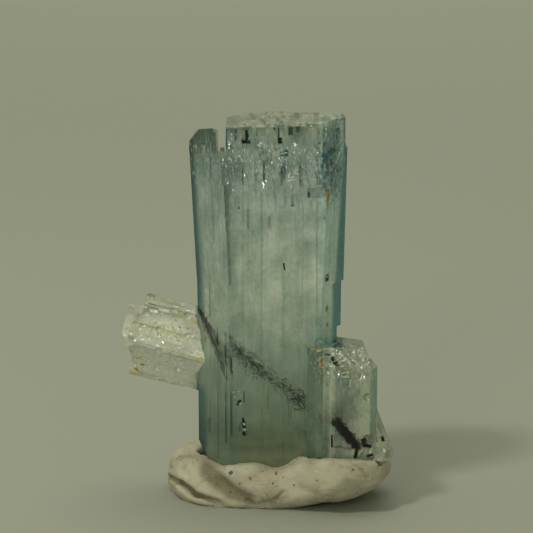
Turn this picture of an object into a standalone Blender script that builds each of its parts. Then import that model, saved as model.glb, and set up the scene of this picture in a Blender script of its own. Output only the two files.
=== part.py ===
"""
Aquamarine crystal group standing in a lump of mineral tack.

One tall hexagonal aquamarine, flattened towards the viewer, carries a pale crystal through its
left edge and a short crystal, with a broken wedge beside it, on its right front. All of them
grew into each other, so they are one solid. Two black tourmalines (schorl) run into that solid
from outside, each in a bore of its own. The lump of tack grips the foot of the group.

Units are metres, +Z is up and -Y faces the viewer. Sizes in the tables below are millimetres.
"""
import math
import random
from collections import namedtuple

import bmesh
import bpy
from mathutils import Matrix, Vector, noise

MM = 0.001
DOUBLES = 2e-6            # corners nearer than this, in metres, are one corner
TOUCHING = 1e-7           # a corner nearer to a cutting plane than this lies on it
FLAT = 0.001              # faces that meet at a smaller angle than this are one face

# Driving dimensions of the group, in millimetres
HEAD_Z = 47.55            # top of the highest terrace above the surface it stands on
FOOT_Z = 1.7              # underside of the crystals, inside the tack
HALF_DEPTH = 6.5          # axis to the broad front and back faces
AXIS_X = 1.3              # the tall crystal's axis, from the middle of the whole group
TURN = 2.0                # the tall crystal's turn about its axis, in degrees
GAP = 0.3                 # clearance between a piece and its neighbour
BLOCK_REACH = 40.0        # half size of the blank that a crystal is cut from
CLEAR = 12.0              # further out than any face of the group is from its axis
OVERLAP = 0.6             # how far a ledge or a lath is sunk into what it grew on

# A face of a crystal: the compass direction it looks in, and its distance from the axis at the
# foot and at the head of the crystal.
Facet = namedtuple("Facet", "azimuth foot head")
# A step of the tall crystal: its height range and its seven faces.
Step = namedtuple("Step", "foot head facets")
# A lath or a pit on a face: its two sides along the face, its height range, and how far it
# stands out or goes in.
Strip = namedtuple("Strip", "left right foot head depth")
# A chip broken out of the surface: where, how big, and how much deeper it is along each axis.
Chip = namedtuple("Chip", "x y z radius squash")


def facets(left_front, left_back, right_back, right, right_front):
    """The tall crystal's faces, each given by its distances from the axis at foot and head."""
    return (
        Facet(270.0 + TURN, HALF_DEPTH, HALF_DEPTH),
        Facet(210.0 + TURN, *left_front),
        Facet(150.0 + TURN, *left_back),
        Facet(90.0 + TURN, HALF_DEPTH, HALF_DEPTH),
        Facet(30.0 + TURN, *right_back),
        Facet(0.0 + TURN, *right),
        Facet(330.0 + TURN, *right_front),
    )


# The tall crystal widens upwards, and on its right edge it does so in steps.
SHAFT_STEPS = (
    Step(FOOT_Z, 22.1, facets((7.55, 7.60), (7.62, 7.62), (8.7, 8.8), (8.38, 8.50), (8.45, 8.62))),
    Step(21.5, 27.7, facets((7.62, 7.68), (7.60, 7.70), (8.9, 9.0), (9.02, 9.06), (8.66, 8.78))),
    Step(27.2, 43.9, facets((7.70, 8.46), (7.72, 8.44), (9.1, 9.5), (9.36, 9.72), (8.86, 9.36))),
    Step(43.3, HEAD_Z, facets((8.46, 8.50), (8.42, 8.40), (9.3, 9.3), (9.44, 9.44), (9.20, 9.20))),
)
FRONT, LEFT_FRONT, LEFT_BACK, BACK, RIGHT_BACK, RIGHT, RIGHT_FRONT = range(7)

# Laths on the broad front face: the edges of growth steps that run along the crystal
FRONT_LATHS = (
    Strip(4.35, 6.35, 39.7, HEAD_Z - 0.15, 0.26),
    Strip(-1.75, 0.10, 40.6, 44.6, 0.16),
    Strip(0.95, 1.75, 37.4, 44.4, 0.14),
    Strip(2.30, 3.55, 38.9, 43.7, 0.20),
    Strip(-4.60, -3.35, 12.0, 42.6, 0.12),
    Strip(-2.55, -1.10, 8.5, 39.2, 0.15),
    Strip(3.15, 3.95, 24.0, 38.0, 0.12),
    Strip(4.75, 5.65, 16.0, 38.2, 0.18),
    Strip(0.20, 1.60, 5.5, 30.5, 0.10),
)
# Pits and slots in the front face: growth hollows with square ends
FRONT_PITS = (
    Strip(-3.40, -2.10, 44.45, 46.75, 0.80),
    Strip(0.90, 1.55, 44.95, 45.75, 0.90),
    Strip(2.20, 4.20, 46.00, 47.10, 0.45),
    Strip(4.60, 7.15, 38.35, 39.30, 0.40),
    Strip(2.05, 2.95, 37.30, 38.60, 0.35),
    Strip(-0.85, -0.55, 40.2, 42.6, 0.30),
    Strip(1.30, 1.60, 39.8, 42.2, 0.30),
)
# How many laths the other faces carry, and how far along the face they may lie
OTHER_LATHS = (
    (LEFT_FRONT, 4, -3.3, 3.3),
    (LEFT_BACK, 5, -3.0, 3.2),
    (BACK, 8, -5.6, 5.2),
    (RIGHT_BACK, 4, -3.2, 2.2),
    (RIGHT_FRONT, 2, -1.0, 2.2),
)
LATH_WIDTHS = (0.6, 2.2)
LATH_LENGTHS = (11.0, 34.0)
LATH_PROUD = (0.06, 0.17)
LATH_FOOT_RANGE = (4.0, 33.0)

# The top: a lug on the left, a through notch, then terraces that rise to the right. A terrace
# is its left side, right side, front and height.
NOTCH = ((-4.98, 44.0), (-3.80, HEAD_Z + 1.0))
NOTCH_FALL = 0.13         # how fast the notch's floor falls away to the back
TERRACES = (
    (-3.82, -2.15, -12.0, 46.95),
    (-2.17, 1.05, -12.0, 47.12),
    (1.03, 4.45, -12.0, 47.30),
    (4.43, 12.0, 3.4, 47.02),
)
LUG_TOP_Z = 46.5
LUG_FRONT_Y = -4.0        # where the lug has that height
LUG_FOOT_Z = 42.0         # no cut at the lug or the notch goes lower
LUG_SLOPE = 0.17          # how fast the lug's top falls away to the back
LUG_CHAMFER = (Vector((-8.50, 44.40)), Vector((-6.95, 46.50)))
LUG_CORNER = (Vector((-5.50, 46.75)), Vector((-4.95, 45.90)))
FRONT_TERRACE = (-3.82, 2.70, 44.35, 0.36)
TOWER_CORNER = (Vector((-3.90, 3.6)), Vector((-2.10, 6.6)))
FOOT_CHAMFERS = (
    (Vector((-7.50, 6.45)), Vector((-6.30, 4.20))),
    (Vector((-6.45, 4.45)), Vector((-4.40, 2.05))),
)

# The pale crystal on the left: its axis points left and a little up
LEFT_TILT = 15.0
LEFT_TURN = 20.0
LEFT_SEAT = Vector((-6.30, 2.40, 17.50))
LEFT_ROOT = -2.2          # how far its root goes into the tall crystal
LEFT_TIP = 11.1
LEFT_FACETS = (3.90, 4.45, 4.25, 3.65, 5.25, 3.85)
LEFT_BEVELS = (           # broken edges of its tip, as direction and distance from the seat
    (Vector((0.10, -0.60, 0.79)), 9.20),
    (Vector((0.62, 0.10, 0.78)), 9.95),
    (Vector((-0.70, 0.25, 0.67)), 9.40),
    (Vector((0.35, 0.50, 0.79)), 10.65),
)
LEFT_STEP = (9.25, 2.75)  # the upper part of the tip ends short, in a step
LEFT_LATHS = (
    (20.0, (-1.9, -0.9), (0.0, 10.2), 0.16),
    (20.0, (0.5, 1.8), (1.0, 9.4), 0.22),
    (320.0, (-1.6, -0.3), (1.0, 9.0), 0.18),
    (320.0, (0.9, 1.7), (2.0, 8.4), 0.14),
    (80.0, (-1.3, 0.2), (1.5, 8.9), 0.18),
    (140.0, (-0.9, 0.9), (2.0, 9.6), 0.20),
    (200.0, (-1.5, 0.1), (2.5, 9.6), 0.16),
    (260.0, (-0.5, 1.2), (2.0, 8.8), 0.20),
)

# The short crystal on the right front, upright, with a broken top
SHORT_OUTLINE = (
    Vector((7.79, -9.60)), Vector((13.72, -9.60)), Vector((14.57, -8.20)),
    Vector((14.15, -3.60)), Vector((9.50, -0.60)), Vector((6.00, -3.20)), Vector((5.83, -6.55)),
)
SHORT_FOOT_Z = 4.5
SHORT_HEAD_Z = 19.85
SHORT_STEP_Z = 17.65
SHORT_SHOULDER = (Vector((12.70, 20.90)), Vector((13.92, 17.65)))
SHORT_TOP_SLOPE = (Vector((-7.4, 19.85)), Vector((-9.7, 17.9)))
SHORT_LATHS = (
    (Vector((8.35, -9.60)), Vector((9.10, -9.60)), 5.5, 16.8, 0.16),
    (Vector((10.60, -9.60)), Vector((12.30, -9.60)), 7.8, 15.6, 0.12),
    (Vector((14.50, -7.60)), Vector((14.28, -5.40)), 8.0, 17.6, 0.20),
)

# The broken wedge at the lower right, leaning outwards
WEDGE_LEAN = 20.8
WEDGE_HEAD = Vector((13.05, -7.25, 12.60))
WEDGE_LENGTH = 7.2
# Its faces, from the one that looks at the short crystal, by way of the back, to the front
WEDGE_FACETS = (1.75, 2.15, 2.00, 1.22, 1.80, 2.75)
WEDGE_TURN = 10.0
WEDGE_OUTER = 3
WEDGE_TAPER = 0.72
WEDGE_FORWARD = 0.08      # how far it leans towards the viewer, per length
WEDGE_BREAK = (Vector((0.0, 0.0, 6.5)), Vector((0.45, 0.25, 0.85)))

# Chips and fractures on the group
CHIPS = (
    Chip(16.4, -6.8, 48.6, 8.0, (1.0, 1.0, 0.9)),
    Chip(8.9, -6.7, 27.9, 0.75, (1.0, 1.0, 0.8)),
    Chip(10.9, -2.2, 27.8, 0.55, (1.0, 1.2, 0.5)),
    Chip(9.3, -9.1, 19.5, 1.30, (1.1, 1.0, 1.0)),
    Chip(11.2, -9.5, 18.9, 1.20, (1.2, 0.8, 1.0)),
    Chip(10.5, -8.0, 20.3, 1.15, (1.3, 1.1, 0.8)),
    Chip(8.2, -9.3, 18.8, 0.85, (0.8, 1.0, 1.1)),
    Chip(12.5, -8.9, 19.6, 1.05, (1.0, 1.0, 1.2)),
    Chip(12.0, -6.2, 20.4, 1.00, (1.2, 1.4, 0.7)),
    Chip(9.7, -10.0, 17.3, 0.75, (1.0, 0.7, 1.3)),
    Chip(12.0, -10.0, 17.0, 0.70, (1.1, 0.7, 1.2)),
    Chip(-17.0, -0.6, 18.2, 0.9, (0.8, 1.2, 1.0)),
    Chip(-16.0, 0.2, 15.3, 1.1, (1.0, 1.1, 0.8)),
    Chip(-15.9, 4.2, 21.6, 1.2, (0.9, 1.2, 1.0)),
    Chip(-13.9, 2.6, 24.4, 1.0, (0.9, 1.5, 0.8)),
    Chip(-16.3, 5.2, 17.6, 1.3, (0.8, 1.0, 1.2)),
    Chip(16.4, -9.6, 7.2, 1.0, (0.8, 1.0, 1.2)),
    Chip(14.6, -10.3, 6.4, 0.9, (1.2, 0.7, 0.9)),
    Chip(15.4, -9.9, 8.9, 0.8, (1.0, 0.8, 1.4)),
    Chip(5.3, 6.9, 47.9, 1.6, (1.6, 0.8, 0.7)),
    Chip(-3.1, 7.0, 31.0, 0.9, (0.9, 0.7, 1.5)),
    Chip(2.6, 7.2, 18.5, 1.2, (1.4, 0.7, 0.8)),
)
CHIP_JITTER = 0.10        # unevenness of a chip, as a share of its radius
MIDDLE_CHIP = 1.0         # above this radius the unevenness grows no further
BROAD_CHIP = 3.0          # above this radius a chip has finer facets

# The two schorls: outer end, inner end and radius of each
Needle = namedtuple("Needle", "name outer inner radius")
NEEDLES = (
    Needle("schorl_needle", Vector((-7.80, 0.60, 23.90)), Vector((6.30, -4.90, 11.40)), 0.45),
    Needle("schorl_rod", Vector((12.30, -9.80, 7.60)), Vector((9.30, -7.40, 12.00)), 0.70),
)
BORE_RUN_OUT = 0.8        # how far a bore's mouth is cut past the needle's end
NEEDLE_SIDES = 9
BORE_SIDES = 12
NEEDLE_RIDGE = 0.10       # depth of the grooves along a needle, as a share of its radius

# The lump of tack: stations round its widest line, seen from above, left end first and then
# along the front. Each gives the widest point, its height, and the foot and lip inside it.
Station = namedtuple("Station", "x y widest_z foot_in lip_in lip_z")
TACK_STATIONS = (
    Station(-11.25, 0.60, 2.3, 0.9, 1.9, 5.15),
    Station(-10.45, -4.60, 2.0, 0.7, 2.2, 4.75),
    Station(-7.40, -8.10, 1.7, 0.5, 2.5, 4.70),
    Station(-2.60, -9.50, 1.9, 0.6, 2.0, 5.35),
    Station(2.20, -9.95, 1.8, 0.7, 2.3, 4.70),
    Station(6.00, -10.95, 2.7, 2.9, 1.5, 5.90),
    Station(9.80, -12.20, 3.8, 8.0, 1.1, 6.85),
    Station(14.20, -11.75, 4.7, 11.0, 0.9, 6.65),
    Station(16.60, -6.30, 4.8, 9.5, 1.1, 6.05),
    Station(16.10, 0.20, 4.4, 7.5, 1.6, 5.50),
    Station(11.20, 5.20, 3.2, 3.8, 1.9, 5.20),
    Station(5.10, 8.20, 2.4, 0.9, 1.8, 5.40),
    Station(-2.40, 8.70, 2.2, 0.8, 1.9, 5.10),
    Station(-8.30, 6.10, 2.4, 0.9, 2.2, 5.30),
)
TACK_CENTRE = Vector((2.4, -1.0))
TACK_AROUND = 104
TACK_SIDE_RINGS = 14
TACK_TOP_RINGS = 4
TACK_FLOOR_DIP = 0.9      # how far the top sinks from the lip to the middle
# Creases pressed into the front: from and to (x, height), depth and half width
Crease = namedtuple("Crease", "x0 z0 x1 z1 depth width")
TACK_CREASES = (
    Crease(-11.3, 2.75, -8.4, 1.35, 0.75, 0.75),
    Crease(-8.4, 1.35, -4.9, 0.35, 0.65, 0.70),
    Crease(-0.9, 0.25, 3.2, 1.60, 0.40, 0.70),
    Crease(-9.0, 3.70, -5.2, 2.10, 0.30, 0.90),
)
# Finger dents in the side: x and height of the middle, half sizes, depth
Dent = namedtuple("Dent", "x z half_x half_z depth")
TACK_DENTS = (
    Dent(-5.6, 2.6, 2.6, 1.8, 0.55),
    Dent(4.9, 3.4, 1.9, 1.7, 0.45),
    Dent(11.6, 3.4, 2.6, 1.6, 0.40),
    Dent(-9.6, 3.5, 1.0, 1.0, 0.25),
)
TACK_LUMPS = 0.30         # height of the soft unevenness
TACK_LUMP_SIZE = 3.4
TACK_CLEARANCE = 0.05     # only the flat underside touches what the tack stands on


def clear_scene():
    """Remove what the scene holds."""
    for item in list(bpy.data.objects):
        bpy.data.objects.remove(item, do_unlink=True)


def material(name, colour, roughness, metallic=0.0):
    """A plain material with the piece's own colour."""
    made = bpy.data.materials.new(name)
    made.use_nodes = True
    shader = made.node_tree.nodes["Principled BSDF"]
    shader.inputs["Base Color"].default_value = (*colour, 1.0)
    shader.inputs["Roughness"].default_value = roughness
    shader.inputs["Metallic"].default_value = metallic
    made.diffuse_color = (*colour, 1.0)
    return made


def make_object(name, shape, surface=None):
    """Turn a bmesh in millimetres into an object in metres."""
    bmesh.ops.scale(shape, vec=(MM, MM, MM), verts=shape.verts)
    bmesh.ops.recalc_face_normals(shape, faces=shape.faces)
    mesh = bpy.data.meshes.new(name)
    shape.to_mesh(mesh)
    shape.free()
    made = bpy.data.objects.new(name, mesh)
    if surface:
        mesh.materials.append(surface)
    bpy.context.scene.collection.objects.link(made)
    return made


def direction(azimuth):
    """Unit vector that looks in a compass direction, in degrees from +X towards +Y."""
    angle = math.radians(azimuth)
    return Vector((math.cos(angle), math.sin(angle), 0.0))


def cut(shape, point, normal):
    """Cut away what lies beyond a plane and close the cut."""
    everything = shape.verts[:] + shape.edges[:] + shape.faces[:]
    bmesh.ops.bisect_plane(shape, geom=everything, dist=TOUCHING, plane_co=point,
                           plane_no=normal, clear_outer=True)
    rim = [edge for edge in shape.edges if edge.is_boundary]
    bmesh.ops.holes_fill(shape, edges=rim, sides=0)


def blank(low, high):
    """A box between two corners."""
    shape = bmesh.new()
    bmesh.ops.create_cube(shape, size=1.0)
    middle = (low + high) / 2.0
    for vertex in shape.verts:
        vertex.co = middle + Vector(a * b for a, b in zip(vertex.co, high - low))
    return shape


def faceted(faces, foot, head, grow=0.0):
    """A crystal round the local Z axis, cut from a blank face by face."""
    reach = Vector((BLOCK_REACH, BLOCK_REACH, 0.0))
    shape = blank(-reach + Vector((0.0, 0.0, foot - grow)), reach + Vector((0.0, 0.0, head + grow)))
    for face in faces:
        lean = (face.head - face.foot) / (head - foot)
        outward = direction(face.azimuth)
        normal = (outward - Vector((0.0, 0.0, lean))).normalized()
        at_foot = outward * face.foot + Vector((0.0, 0.0, foot))
        cut(shape, at_foot + normal * grow, normal)
    return shape


def wedge_of_block(low, high, planes):
    """The part of a box that lies inside every plane."""
    shape = blank(low, high)
    for point, normal in planes:
        cut(shape, point, normal)
    return shape


def face_frame(step, index):
    """Outward and sideways directions of one face of a step of the tall crystal."""
    outward = direction(step.facets[index].azimuth)
    sideways = Vector((-outward.y, outward.x, 0.0))
    return outward, sideways


def face_distance(step, index, height):
    """How far the face is from the axis at a height."""
    face = step.facets[index]
    share = (height - step.foot) / (step.head - step.foot)
    return face.foot + (face.head - face.foot) * share


def step_at(height):
    """The step of the tall crystal that shows at a height."""
    for step in reversed(SHAFT_STEPS):
        if height >= step.foot:
            return step
    return SHAFT_STEPS[0]


def slab(corner_rows):
    """A closed block from its lower and upper ring of corners."""
    shape = bmesh.new()
    for row in corner_rows:
        for corner in row:
            shape.verts.new(corner)
    bmesh.ops.convex_hull(shape, input=shape.verts)
    bmesh.ops.dissolve_limit(shape, angle_limit=FLAT, verts=shape.verts, edges=shape.edges)
    return shape


def strip_block(index, strip, inner, outer):
    """A block that follows a face of the tall crystal between two depths."""
    rows = []
    for height in (strip.foot, strip.head):
        step = step_at((strip.foot + strip.head) / 2.0)
        outward, sideways = face_frame(step, index)
        base = Vector((AXIS_X, 0.0, height))
        near = face_distance(step, index, height)
        rows.append([
            base + sideways * side + outward * (near + depth)
            for side in (strip.left, strip.right) for depth in (inner, outer)
        ])
    return slab(rows)


def shaft_steps():
    """The steps of the tall crystal, one solid each."""
    for number, step in enumerate(SHAFT_STEPS):
        shape = faceted(step.facets, step.foot, step.head)
        bmesh.ops.translate(shape, vec=(AXIS_X, 0.0, 0.0), verts=shape.verts)
        yield make_object(f"shaft_step_{number}", shape)


def shaft_laths():
    """Laths on the tall crystal: the measured ones in front, seeded ones elsewhere."""
    for strip in FRONT_LATHS:
        yield make_object("front_lath", strip_block(FRONT, strip, -OVERLAP, strip.depth))
    chance = random.Random(7)
    for index, count, first, last in OTHER_LATHS:
        for _ in range(count):
            width = chance.uniform(*LATH_WIDTHS)
            left = chance.uniform(first, last - width)
            foot = chance.uniform(*LATH_FOOT_RANGE)
            step = step_at(foot)
            head = min(foot + chance.uniform(*LATH_LENGTHS), step.head - chance.uniform(0.2, 0.9))
            proud = chance.uniform(*LATH_PROUD)
            strip = Strip(left, left + width, foot, max(head, foot + 1.0), proud)
            yield make_object("side_lath", strip_block(index, strip, -OVERLAP, proud))


def left_frame():
    """Placement of the left crystal: local Z along its axis, local X towards the viewer."""
    tilt = math.radians(LEFT_TILT)
    along = Vector((-math.cos(tilt), 0.0, math.sin(tilt)))
    up = Vector((math.sin(tilt), 0.0, math.cos(tilt)))
    towards = up.cross(along)
    turned = Matrix((towards, up, along)).transposed().to_4x4()
    return Matrix.Translation(LEFT_SEAT) @ turned


def left_crystal():
    """The pale crystal that passes through the tall crystal's left edge."""
    faces = [Facet(LEFT_TURN + 60.0 * n, far, far) for n, far in enumerate(LEFT_FACETS)]
    shape = faceted(faces, LEFT_ROOT, LEFT_TIP)
    for outward, far in LEFT_BEVELS:
        cut(shape, outward.normalized() * far, outward)
    bmesh.ops.transform(shape, matrix=left_frame(), verts=shape.verts)
    yield make_object("left_crystal", shape)
    for azimuth, across, along, proud in LEFT_LATHS:
        index = round((azimuth - LEFT_TURN) / 60.0) % 6
        outward = direction(azimuth)
        sideways = Vector((-outward.y, outward.x, 0.0))
        near = LEFT_FACETS[index]
        rows = [
            [sideways * side + outward * (near + depth) + Vector((0.0, 0.0, height))
             for side in across for depth in (-OVERLAP, proud)]
            for height in along
        ]
        lath = slab(rows)
        bmesh.ops.transform(lath, matrix=left_frame(), verts=lath.verts)
        yield make_object("left_lath", lath)


def left_step_cutter():
    """The block that shortens the upper part of the left crystal's tip."""
    along, up = LEFT_STEP
    shape = blank(Vector((-CLEAR, up, along)), Vector((CLEAR, CLEAR, LEFT_TIP + OVERLAP)))
    bmesh.ops.transform(shape, matrix=left_frame(), verts=shape.verts)
    return make_object("left_step", shape)


def beyond(line, keep):
    """Plane through a line in the X-Z plane, with its outside on one side of the line."""
    first, second = line
    point = Vector((first.x, 0.0, first.y))
    along = Vector((second.x - first.x, 0.0, second.y - first.y))
    normal = along.cross(Vector((0.0, 1.0, 0.0))).normalized()
    if normal.dot(Vector((keep[0], 0.0, keep[1])) - point) < 0.0:
        normal.negate()
    return point, -normal


def outline_block(outline, foot, head):
    """An upright block with the given outline."""
    rows = [[Vector((*corner, height)) for corner in outline] for height in (foot, head)]
    return slab(rows)


def short_crystal():
    """The short crystal on the right front, with its broken top and its stepped shoulder."""
    shape = outline_block(SHORT_OUTLINE, SHORT_FOOT_Z, SHORT_HEAD_Z)
    slope_point = Vector((0.0, *SHORT_TOP_SLOPE[0]))
    slope_along = Vector((0.0, *(SHORT_TOP_SLOPE[1] - SHORT_TOP_SLOPE[0])))
    slope_normal = Vector((1.0, 0.0, 0.0)).cross(slope_along).normalized()
    if slope_normal.z < 0.0:
        slope_normal.negate()
    cut(shape, slope_point, slope_normal)
    yield make_object("short_crystal", shape)
    for first, second, foot, head, proud in SHORT_LATHS:
        along = (second - first).normalized()
        outward = Vector((along.y, -along.x))
        inner, outer = outward * -OVERLAP, outward * proud
        outline = (first + inner, second + inner, second + outer, first + outer)
        yield make_object("short_lath", outline_block(outline, foot, head))


def short_shoulder_cutter():
    """The block that leans the short crystal's right side in above its step."""
    (first, second) = SHORT_SHOULDER
    low = Vector((first.x - OVERLAP, -CLEAR, SHORT_STEP_Z))
    widest = max(corner.x for corner in SHORT_OUTLINE)
    high = Vector((widest + OVERLAP, SHORT_OUTLINE[-3].y, first.y + OVERLAP))
    outside = (high.x, high.z)
    return make_object("shoulder", wedge_of_block(low, high, (beyond(SHORT_SHOULDER, outside),)))


def wedge_frame():
    """Placement of the broken wedge: local Z down its lean, away from the short crystal."""
    lean = math.radians(WEDGE_LEAN)
    along = Vector((math.sin(lean), -WEDGE_FORWARD, -math.cos(lean))).normalized()
    across = Vector((0.0, 1.0, 0.0)).cross(along).normalized()
    third = along.cross(across)
    return Matrix.Translation(WEDGE_HEAD) @ Matrix((across, third, along)).transposed().to_4x4()


def wedge_faces():
    """The wedge's six faces, which close in towards its head except on its outer side."""
    return [
        Facet(WEDGE_TURN + 60.0 * n, far if n == WEDGE_OUTER else far * WEDGE_TAPER, far)
        for n, far in enumerate(WEDGE_FACETS)
    ]


def broken_wedge():
    """The pale broken wedge at the lower right."""
    shape = faceted(wedge_faces(), 0.0, WEDGE_LENGTH)
    cut(shape, *WEDGE_BREAK)
    bmesh.ops.transform(shape, matrix=wedge_frame(), verts=shape.verts)
    yield make_object("broken_wedge", shape)


def top_cutters():
    """What is missing from the top of the tall crystal: notch, terraces, lug and corner."""
    over = HEAD_Z + OVERLAP
    (notch_left, notch_foot), (notch_right, notch_head) = NOTCH
    floor = (Vector((0.0, -HALF_DEPTH, notch_foot)), Vector((0.0, -NOTCH_FALL, -1.0)))
    yield make_object("notch", wedge_of_block(
        Vector((notch_left, -CLEAR, LUG_FOOT_Z)), Vector((notch_right, CLEAR, notch_head)),
        (floor,)))
    for left, right, front, height in TERRACES:
        yield make_object("terrace", blank(
            Vector((left, front, height)), Vector((right, CLEAR, over))))
    lug_low = Vector((-CLEAR, -CLEAR, LUG_FOOT_Z))
    lug_high = Vector(((notch_left + notch_right) / 2.0, CLEAR, over))
    slope = (Vector((0.0, LUG_FRONT_Y, LUG_TOP_Z)), Vector((0.0, -LUG_SLOPE, -1.0)))
    yield make_object("lug_top", wedge_of_block(lug_low, lug_high, (slope,)))
    for line in (LUG_CHAMFER, LUG_CORNER):
        outside = (-CLEAR, over) if line is LUG_CHAMFER else (0.0, over)
        yield make_object("lug_edge", wedge_of_block(lug_low, lug_high, (beyond(line, outside),)))
    left, right, foot, depth = FRONT_TERRACE
    yield make_object("front_terrace", blank(
        Vector((left, -CLEAR, foot)), Vector((right, -HALF_DEPTH + depth, over))))
    first, second = TOWER_CORNER
    outside = Vector((first.x - OVERLAP, second.y + 2.0 * OVERLAP))
    corner = slab([[Vector((*at, height)) for at in (first, second, outside)]
                   for height in (notch_foot, over)])
    yield make_object("tower_corner", corner)


def foot_cutters():
    """The rounded lower left corner of the tall crystal."""
    for line in FOOT_CHAMFERS:
        low = Vector((-CLEAR, -CLEAR, 0.0))
        high = Vector((0.0, CLEAR, FOOT_CHAMFERS[0][0].y + OVERLAP))
        yield make_object("foot_edge", wedge_of_block(low, high, (beyond(line, (-CLEAR, 0.0)),)))


def pit_cutters():
    """The square-ended growth hollows of the front face."""
    for strip in FRONT_PITS:
        yield make_object("pit", strip_block(FRONT, strip, -strip.depth, OVERLAP))


def chip_cutters():
    """Shell-shaped chips, each a jittered ball."""
    for number, chip in enumerate(CHIPS):
        chance = random.Random(number + 3)
        shape = bmesh.new()
        broad = chip.radius > BROAD_CHIP
        bmesh.ops.create_icosphere(shape, subdivisions=3 if broad else 2, radius=chip.radius)
        jitter = CHIP_JITTER * MIDDLE_CHIP / max(chip.radius, MIDDLE_CHIP)
        for vertex in shape.verts:
            bump = 1.0 + chance.uniform(-jitter, jitter)
            vertex.co = Vector(a * b * bump for a, b in zip(vertex.co, chip.squash))
        place = Matrix.Translation((chip.x, chip.y, chip.z))
        bmesh.ops.transform(shape, matrix=place, verts=shape.verts)
        yield make_object("chip", shape)


def rod_shape(start, end, radius, sides, ridge=0.0):
    """A straight rod with flat ends, its sides grooved like a tourmaline's when ridge is set."""
    along = (end - start).normalized()
    turn = along.to_track_quat("Z", "Y").to_matrix()
    count = sides * 2 if ridge else sides
    shape = bmesh.new()
    for point in (start, end):
        for step in range(count):
            angle = 2.0 * math.pi * step / count
            near = radius * (1.0 - ridge * (step % 2))
            shape.verts.new(point + turn @ (direction(math.degrees(angle)) * near))
    shape.verts.ensure_lookup_table()
    low, high = shape.verts[:count], shape.verts[count:]
    shape.faces.new(low)
    shape.faces.new(high)
    for step in range(count):
        after = (step + 1) % count
        shape.faces.new((low[step], low[after], high[after], high[step]))
    return shape


def bore_cutters():
    """The bores that the schorls lie in, open at the outer end and blind at the inner end."""
    for needle in NEEDLES:
        along = (needle.inner - needle.outer).normalized()
        outer = needle.outer - along * BORE_RUN_OUT
        inner = needle.inner + along * GAP
        yield make_object("bore", rod_shape(outer, inner, needle.radius + GAP, BORE_SIDES))


def combine(target, tools, operation):
    """Join the tools to the target, or cut them out of it, and remove them."""
    group = bpy.data.collections.new("tools")
    bpy.context.scene.collection.children.link(group)
    tools = list(tools)
    for tool in tools:
        bpy.context.scene.collection.objects.unlink(tool)
        group.objects.link(tool)
    modifier = target.modifiers.new("combine", "BOOLEAN")
    modifier.operation = operation
    modifier.operand_type = "COLLECTION"
    modifier.collection = group
    modifier.solver = "EXACT"
    depsgraph = bpy.context.evaluated_depsgraph_get()
    mesh = bpy.data.meshes.new_from_object(target.evaluated_get(depsgraph))
    target.modifiers.clear()
    target.data = mesh
    for tool in tools:
        bpy.data.objects.remove(tool, do_unlink=True)
    bpy.data.collections.remove(group)


def tidy_mesh(target, merge=DOUBLES):
    """Merge doubled corners, drop slivers and split every face into triangles."""
    shape = bmesh.new()
    shape.from_mesh(target.data)
    bmesh.ops.remove_doubles(shape, verts=shape.verts, dist=merge)
    bmesh.ops.dissolve_degenerate(shape, dist=merge, edges=shape.edges)
    bmesh.ops.triangulate(shape, faces=shape.faces)
    bmesh.ops.recalc_face_normals(shape, faces=shape.faces)
    shape.to_mesh(target.data)
    shape.free()


def build_aquamarine():
    """The whole aquamarine: every crystal fused, then everything missing cut away."""
    surface = material("aquamarine", (0.42, 0.56, 0.50), 0.15)
    steps = list(shaft_steps())
    crystal = steps[0]
    crystal.name = "aquamarine"
    grown = steps[1:] + list(shaft_laths())
    combine(crystal, grown, "UNION")
    combine(crystal, [*top_cutters(), *foot_cutters(), *pit_cutters()], "DIFFERENCE")
    combine(crystal, [*left_crystal(), *short_crystal(), *broken_wedge()], "UNION")
    missing = [left_step_cutter(), short_shoulder_cutter(), *chip_cutters(), *bore_cutters()]
    combine(crystal, missing, "DIFFERENCE")
    tidy_mesh(crystal)
    crystal.data.materials.clear()
    crystal.data.materials.append(surface)
    return crystal


def build_schorl():
    """The two black tourmalines."""
    surface = material("schorl", (0.012, 0.013, 0.011), 0.35)
    for needle in NEEDLES:
        shape = rod_shape(needle.outer, needle.inner, needle.radius, NEEDLE_SIDES, NEEDLE_RIDGE)
        made = make_object(needle.name, shape, surface)
        tidy_mesh(made)
        yield made


def round_curve(values, place):
    """Read a closed smooth curve through evenly spaced values at a place from 0 to 1."""
    count = len(values)
    whole = place * count
    index = math.floor(whole)
    part = whole - index
    before, first, second, after = (values[(index + n) % count] for n in (-1, 0, 1, 2))
    return first + 0.5 * part * (
        second - before + part * (
            2.0 * before - 5.0 * first + 4.0 * second - after + part * (
                3.0 * (first - second) + after - before)))


def smooth_fall(amount):
    """1 at the middle, 0 from 1 outwards, with soft ends."""
    amount = min(max(amount, 0.0), 1.0)
    return (1.0 - amount * amount) ** 2


def distance_to_crease(x, z, crease):
    """Distance from a point on the side to a crease, both seen from the front."""
    start = Vector((crease.x0, crease.z0))
    along = Vector((crease.x1, crease.z1)) - start
    share = (Vector((x, z)) - start).dot(along) / along.length_squared
    nearest = start + along * min(max(share, 0.0), 1.0)
    return (Vector((x, z)) - nearest).length


def pressed_in(point):
    """How far creases and finger dents press the tack in at a point of its front side."""
    if point.y > TACK_CENTRE.y:
        return 0.0
    depth = 0.0
    for crease in TACK_CREASES:
        depth += crease.depth * smooth_fall(distance_to_crease(point.x, point.z, crease) / crease.width)
    for dent in TACK_DENTS:
        away = math.hypot((point.x - dent.x) / dent.half_x, (point.z - dent.z) / dent.half_z)
        depth += dent.depth * smooth_fall(away)
    return depth


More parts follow.
